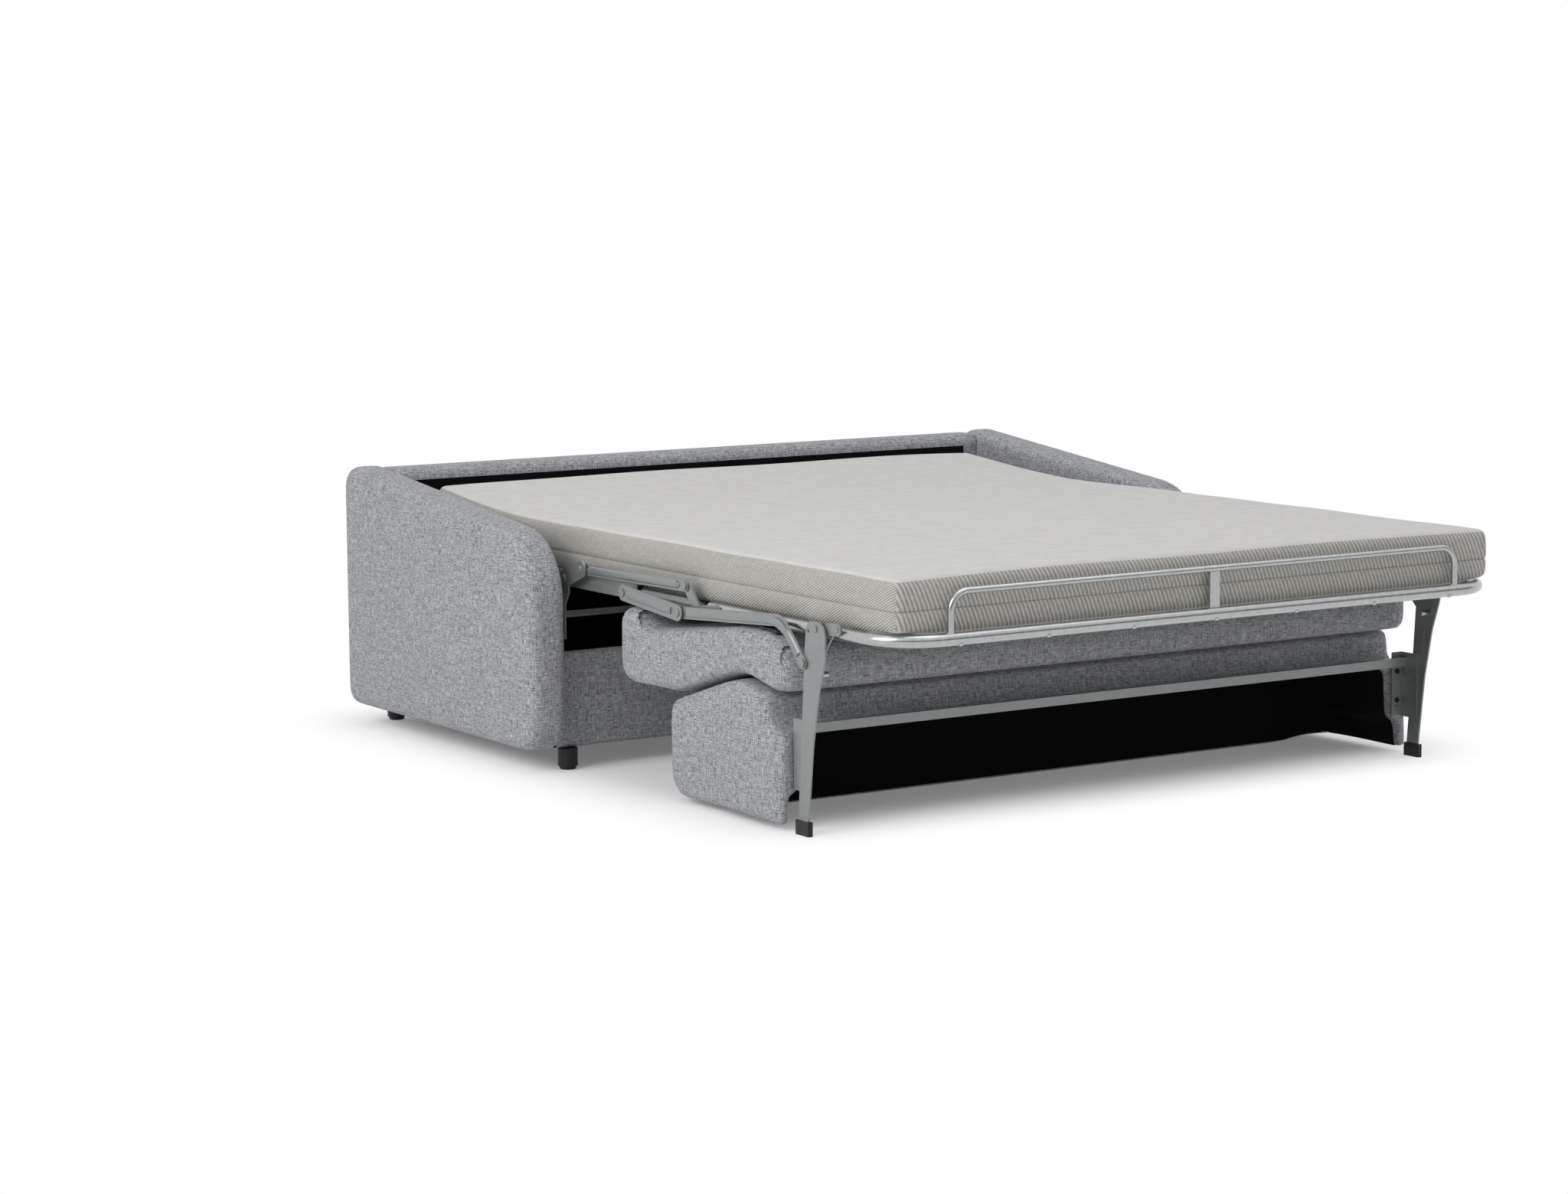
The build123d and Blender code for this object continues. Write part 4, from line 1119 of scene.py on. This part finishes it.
@dataclass
class Linkwork:
    """Pressed ribs of the links, rivets of the foot tube and ends of the leg rod."""

    bed: SofaBed
    bead_half_mm: float = 9.0
    bead_rise_mm: float = 3.6
    rivet_mm: float = 5.5
    rivet_long_mm: float = 4.0
    rivet_edge_mm: float = 1.8
    rivet_pitch_mm: float = 220.0
    rivet_count: int = 3
    rivet_lean: float = 50.0
    stub_mm: float = 26.0
    stub_edge_mm: float = 1.5
    tube_front_mm: float = 2168.0
    tube_height_mm: float = 429.0
    tube_r_mm: float = 14.0
    beads: tuple[Bead, ...] = (
        Bead("upper_link_bead", "upper_links", 838.0, ((990.0, 465.5), (1370.0, 471.6))),
        Bead("mid_channel_bead", "mid_section", 852.5, ((1186.0, 430.6), (1366.0, 415.1))),
        Bead("leg_link_bead", "leg_links", 846.0, ((1424.0, 415.2), (1797.0, 440.0), (1862.0, 375.8)), 52.0),
    )

    def bead(self, spec: Bead, side: int) -> bpy.types.Object:
        """Return one pressed rib, half sunk in its link.

        Args:
            spec: the rib's place.
            side: 1 for the right link, -1 for the left.

        Returns:
            The rib as a mesh.
        """
        bpy.ops.object.select_all(action="DESELECT")
        face = side * spec.face_mm * MM
        points = [Vector((face, at_depth(d), z * MM)) for d, z in spec.run_mm]
        bpy.ops.curve.primitive_bezier_curve_add()
        piece = bpy.context.object
        piece.name = f"{'right' if side > 0 else 'left'}_{spec.name}"
        spline = piece.data.splines[0]
        places = self.rounded_run(points, spec.corner_mm * MM)
        spline.bezier_points.add(len(places) - 2)
        for knot, (place, before, after) in zip(spline.bezier_points, places):
            knot.handle_left_type = knot.handle_right_type = "FREE"
            knot.co, knot.handle_left, knot.handle_right = place, before, after
        piece.data.bevel_depth = self.bead_half_mm * MM
        piece.data.bevel_resolution = 4
        piece.data.use_fill_caps = True
        bpy.ops.object.convert(target="MESH")
        bpy.ops.object.transform_apply(location=True, rotation=True, scale=True)
        squeeze = self.bead_rise_mm / self.bead_half_mm
        move_points(piece, lambda place, look: Vector(((face - place.x) * (1 - squeeze), 0, 0)))
        edit(piece, partial(bpy.ops.mesh.remove_doubles, threshold=0.01 * MM),
             partial(bpy.ops.mesh.normals_make_consistent, inside=False))
        return piece

    @staticmethod
    def rounded_run(points: list[Vector], corner: float) -> list[tuple[Vector, Vector, Vector]]:
        """Return knots with their handles for a run whose corners are rounded.

        Args:
            points: ends and corners of the run.
            corner: length cut off each side of a corner.

        Returns:
            Each knot's place, the handle before it and the handle after it.
        """
        straight, round_off = 0.3, 0.55
        knots = [(points[0], points[0], points[0].lerp(points[1], straight))]
        for before, here, after in zip(points, points[1:], points[2:]):
            enter = here + (before - here).normalized() * corner
            leave = here + (after - here).normalized() * corner
            knots.append((enter, enter.lerp(before, straight), enter.lerp(here, round_off)))
            knots.append((leave, leave.lerp(here, round_off), leave.lerp(after, straight)))
        knots.append((points[-1], points[-1].lerp(points[-2], straight), points[-1]))
        return knots

    def rivets(self) -> bpy.types.Object:
        """Make the row of domed rivets under the front of the foot tube.

        Returns:
            The rivets as one mesh.
        """
        lean = math.radians(self.rivet_lean)
        out = Vector((0, -math.cos(lean), -math.sin(lean)))
        middle = Vector((0, at_depth(self.tube_front_mm), self.tube_height_mm * MM))
        middle += out * (self.tube_r_mm * MM)
        made = []
        for place in range(-self.rivet_count, self.rivet_count + 1):
            centre = middle + Vector((place * self.rivet_pitch_mm * MM, 0, 0))
            made.append(turned_pin(self.rivet_mm * MM, self.rivet_long_mm * MM, centre, out,
                                   self.rivet_edge_mm * MM))
        return join_pieces(made, "foot_tube_rivets")

    def stubs(self) -> bpy.types.Object:
        """Make the two ends of the leg rod, all of it that stands free of the seat.

        Returns:
            The ends as one mesh.
        """
        low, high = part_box("leg_rod")
        radius = (high[2] - low[2]) / 2
        reach = self.stub_mm * MM
        made = []
        for side in (1, -1):
            centre = Vector((side * (high[0] - reach / 2), (low[1] + high[1]) / 2, (low[2] + high[2]) / 2))
            made.append(turned_pin(radius, reach, centre, Vector((1, 0, 0)), self.stub_edge_mm * MM))
        return join_pieces(made, "leg_rod_stubs")

    def build(self) -> None:
        """Make the ribs, rivets and rod ends and let each ride on its body."""
        for spec in self.beads:
            for side in (1, -1):
                piece = self.bead(spec, side)
                finish_piece(piece, self.bed.materials[Slot.PRESSED_STEEL])
                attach(piece, spec.body)
        rivets = self.rivets()
        finish_piece(rivets, self.bed.materials[Slot.SATIN_TUBE])
        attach(rivets, "foot_section")
        stubs = self.stubs()
        finish_piece(stubs, self.bed.materials[Slot.SATIN_TUBE])
        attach(stubs, "leg_frame")
        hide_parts("leg_rod")


@dataclass(frozen=True)
class Lamp:
    """A square soft lamp: its place and size in metres and its power in watts."""

    name: str
    place: tuple[float, float, float]
    size: float
    power: float


@dataclass
class Studio:
    """Camera at the photograph's place, soft light and a pale floor."""

    place: tuple[float, float, float] = (-4.8025, -6.8843, 1.4218)
    yaw: float = -32.688
    pitch: float = -7.247
    roll: float = -0.398
    lens_mm: float = 82.314
    sensor_mm: float = 36.0
    view_end: float = 200.0
    sky: float = 0.55
    wall_dark: float = 0.75
    wall_ahead: tuple[float, float] = (-0.1, -0.5)
    wall_up: tuple[float, float] = (0.5, 0.2)
    lamps: tuple[Lamp, ...] = (Lamp("key", (-6.0, -1.4, 3.8), 3.5, 215.0),
                               Lamp("top", (0.6, -0.8, 5.2), 5.0, 85.0))
    lamps_aim: tuple[float, float, float] = (0.0, 0.0, 0.3)
    floor_size: float = 160.0
    floor_colour: str = "#fafafa"
    floor_roughness: float = 0.9
    shadow_lift: float = 0.15
    footprint: tuple[float, float, float] = (0.80, 0.80, 0.22)
    fade: float = 0.38

    def camera(self) -> None:
        """Add the camera."""
        data = bpy.data.cameras.new("camera")
        data.lens, data.sensor_width, data.clip_end = self.lens_mm, self.sensor_mm, self.view_end
        camera = bpy.data.objects.new("camera", data)
        bpy.context.scene.collection.objects.link(camera)
        turn = (Matrix.Rotation(math.radians(self.yaw), 4, "Z")
                @ Matrix.Rotation(math.radians(90 + self.pitch), 4, "X")
                @ Matrix.Rotation(math.radians(self.roll), 4, "Z"))
        camera.matrix_world = Matrix.Translation(self.place) @ turn
        bpy.context.scene.camera = camera

    def room(self) -> None:
        """Light the room evenly, white where it is seen."""
        world = bpy.context.scene.world or bpy.data.worlds.new("room")
        bpy.context.scene.world = world
        world.use_nodes = True
        tree = world.node_tree
        tree.nodes.clear()
        node = partial(add_node, tree)
        strength = node("Math", seen_share(tree), 1 - self.sky, self.sky, operation="MULTIPLY_ADD")
        # The end of the room that faces the sofa's foot is darker, which gives the tubes their dark band.
        ways = node("SeparateXYZ", node("TexCoord").outputs["Generated"]).outputs
        wall = [node("MapRange", way, *span, interpolation_type="SMOOTHSTEP")
                for way, span in ((ways[1], self.wall_ahead), (ways[2], self.wall_up))]
        dark = node("Math", node("Math", *wall, operation="MULTIPLY"),
                    node("LightPath").outputs["Is Glossy Ray"], operation="MULTIPLY")
        taken = node("Math", dark, strength, operation="MULTIPLY")
        left = node("Math", taken, -self.wall_dark, strength, operation="MULTIPLY_ADD")
        node("OutputWorld", node("Background", WHITE, left))

    def lights(self) -> None:
        """Add the lamps, a large soft one from the upper left and one from above."""
        for spec in self.lamps:
            data = bpy.data.lights.new(spec.name, "AREA")
            data.size, data.energy = spec.size, spec.power
            lamp = bpy.data.objects.new(spec.name, data)
            bpy.context.scene.collection.objects.link(lamp)
            lamp.location = spec.place
            aim = Vector(self.lamps_aim) - Vector(spec.place)
            lamp.rotation_euler = aim.to_track_quat("-Z", "Y").to_euler()

    def floor(self) -> None:
        """Add the floor, which keeps the shadow near the sofa and fades to white."""
        bpy.ops.object.select_all(action="DESELECT")
        bpy.ops.mesh.primitive_plane_add(size=self.floor_size)
        floor = bpy.context.object
        floor.name = "floor"
        material, tree, shader = new_material("pale_floor")
        node = partial(add_node, tree)
        set_inputs(tree, shader, {"Base Color": linear(self.floor_colour), "Specular IOR Level": 0.0,
                                  "Roughness": self.floor_roughness})
        half_x, half_y, centre_y = self.footprint
        place = node("SeparateXYZ", node("TexCoord").outputs["Object"]).outputs
        ahead = node("Math", place[1], centre_y, operation="SUBTRACT")
        beyond = []
        for way, half in ((place[0], half_x), (ahead, half_y)):
            past = node("Math", node("Math", way, operation="ABSOLUTE"), half, operation="SUBTRACT")
            beyond.append(node("Math", past, 0.0, operation="MAXIMUM"))
        reach = node("VectorMath", node("CombineXYZ", *beyond), operation="LENGTH").outputs["Value"]
        far = node("MapRange", reach, 0.0, self.fade, interpolation_type="SMOOTHSTEP")
        lift = node("Math", far, 1 - self.shadow_lift, self.shadow_lift, operation="MULTIPLY_ADD")
        share = node("Math", lift, seen_share(tree), operation="MULTIPLY")
        mix = node("MixShader", share, shader, node("Emission", WHITE, 1.0))
        set_inputs(tree, tree.nodes["Material Output"], {0: mix})
        floor.data.materials.append(material)

    def build(self) -> None:
        """Set up the view, the light and the floor."""
        bpy.context.scene.view_settings.view_transform = "Standard"
        self.camera()
        self.room()
        self.lights()
        self.floor()


def main() -> None:
    """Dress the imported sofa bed, piece by piece."""
    logging.basicConfig(level=logging.INFO, format="%(name)s %(message)s")
    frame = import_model()
    materials = {slot: finish.build() for slot, finish in FINISHES.items()}
    bed = SofaBed(frame["nodes"], materials)
    bed.dress_nodes(frame["record"])
    Shell(bed).build()
    Cushion(bed, "seat_cushion", "foot_section", -1, band_seam_mm=341.0).build()
    backrest = Cushion(bed, "backrest_cushion", "leg_frame", 1).build()
    HollowLining(bed).build(backrest)
    Mattress(bed).build()
    Linkwork(bed).build()
    Studio().build()


if __name__ == "__main__":
    main()
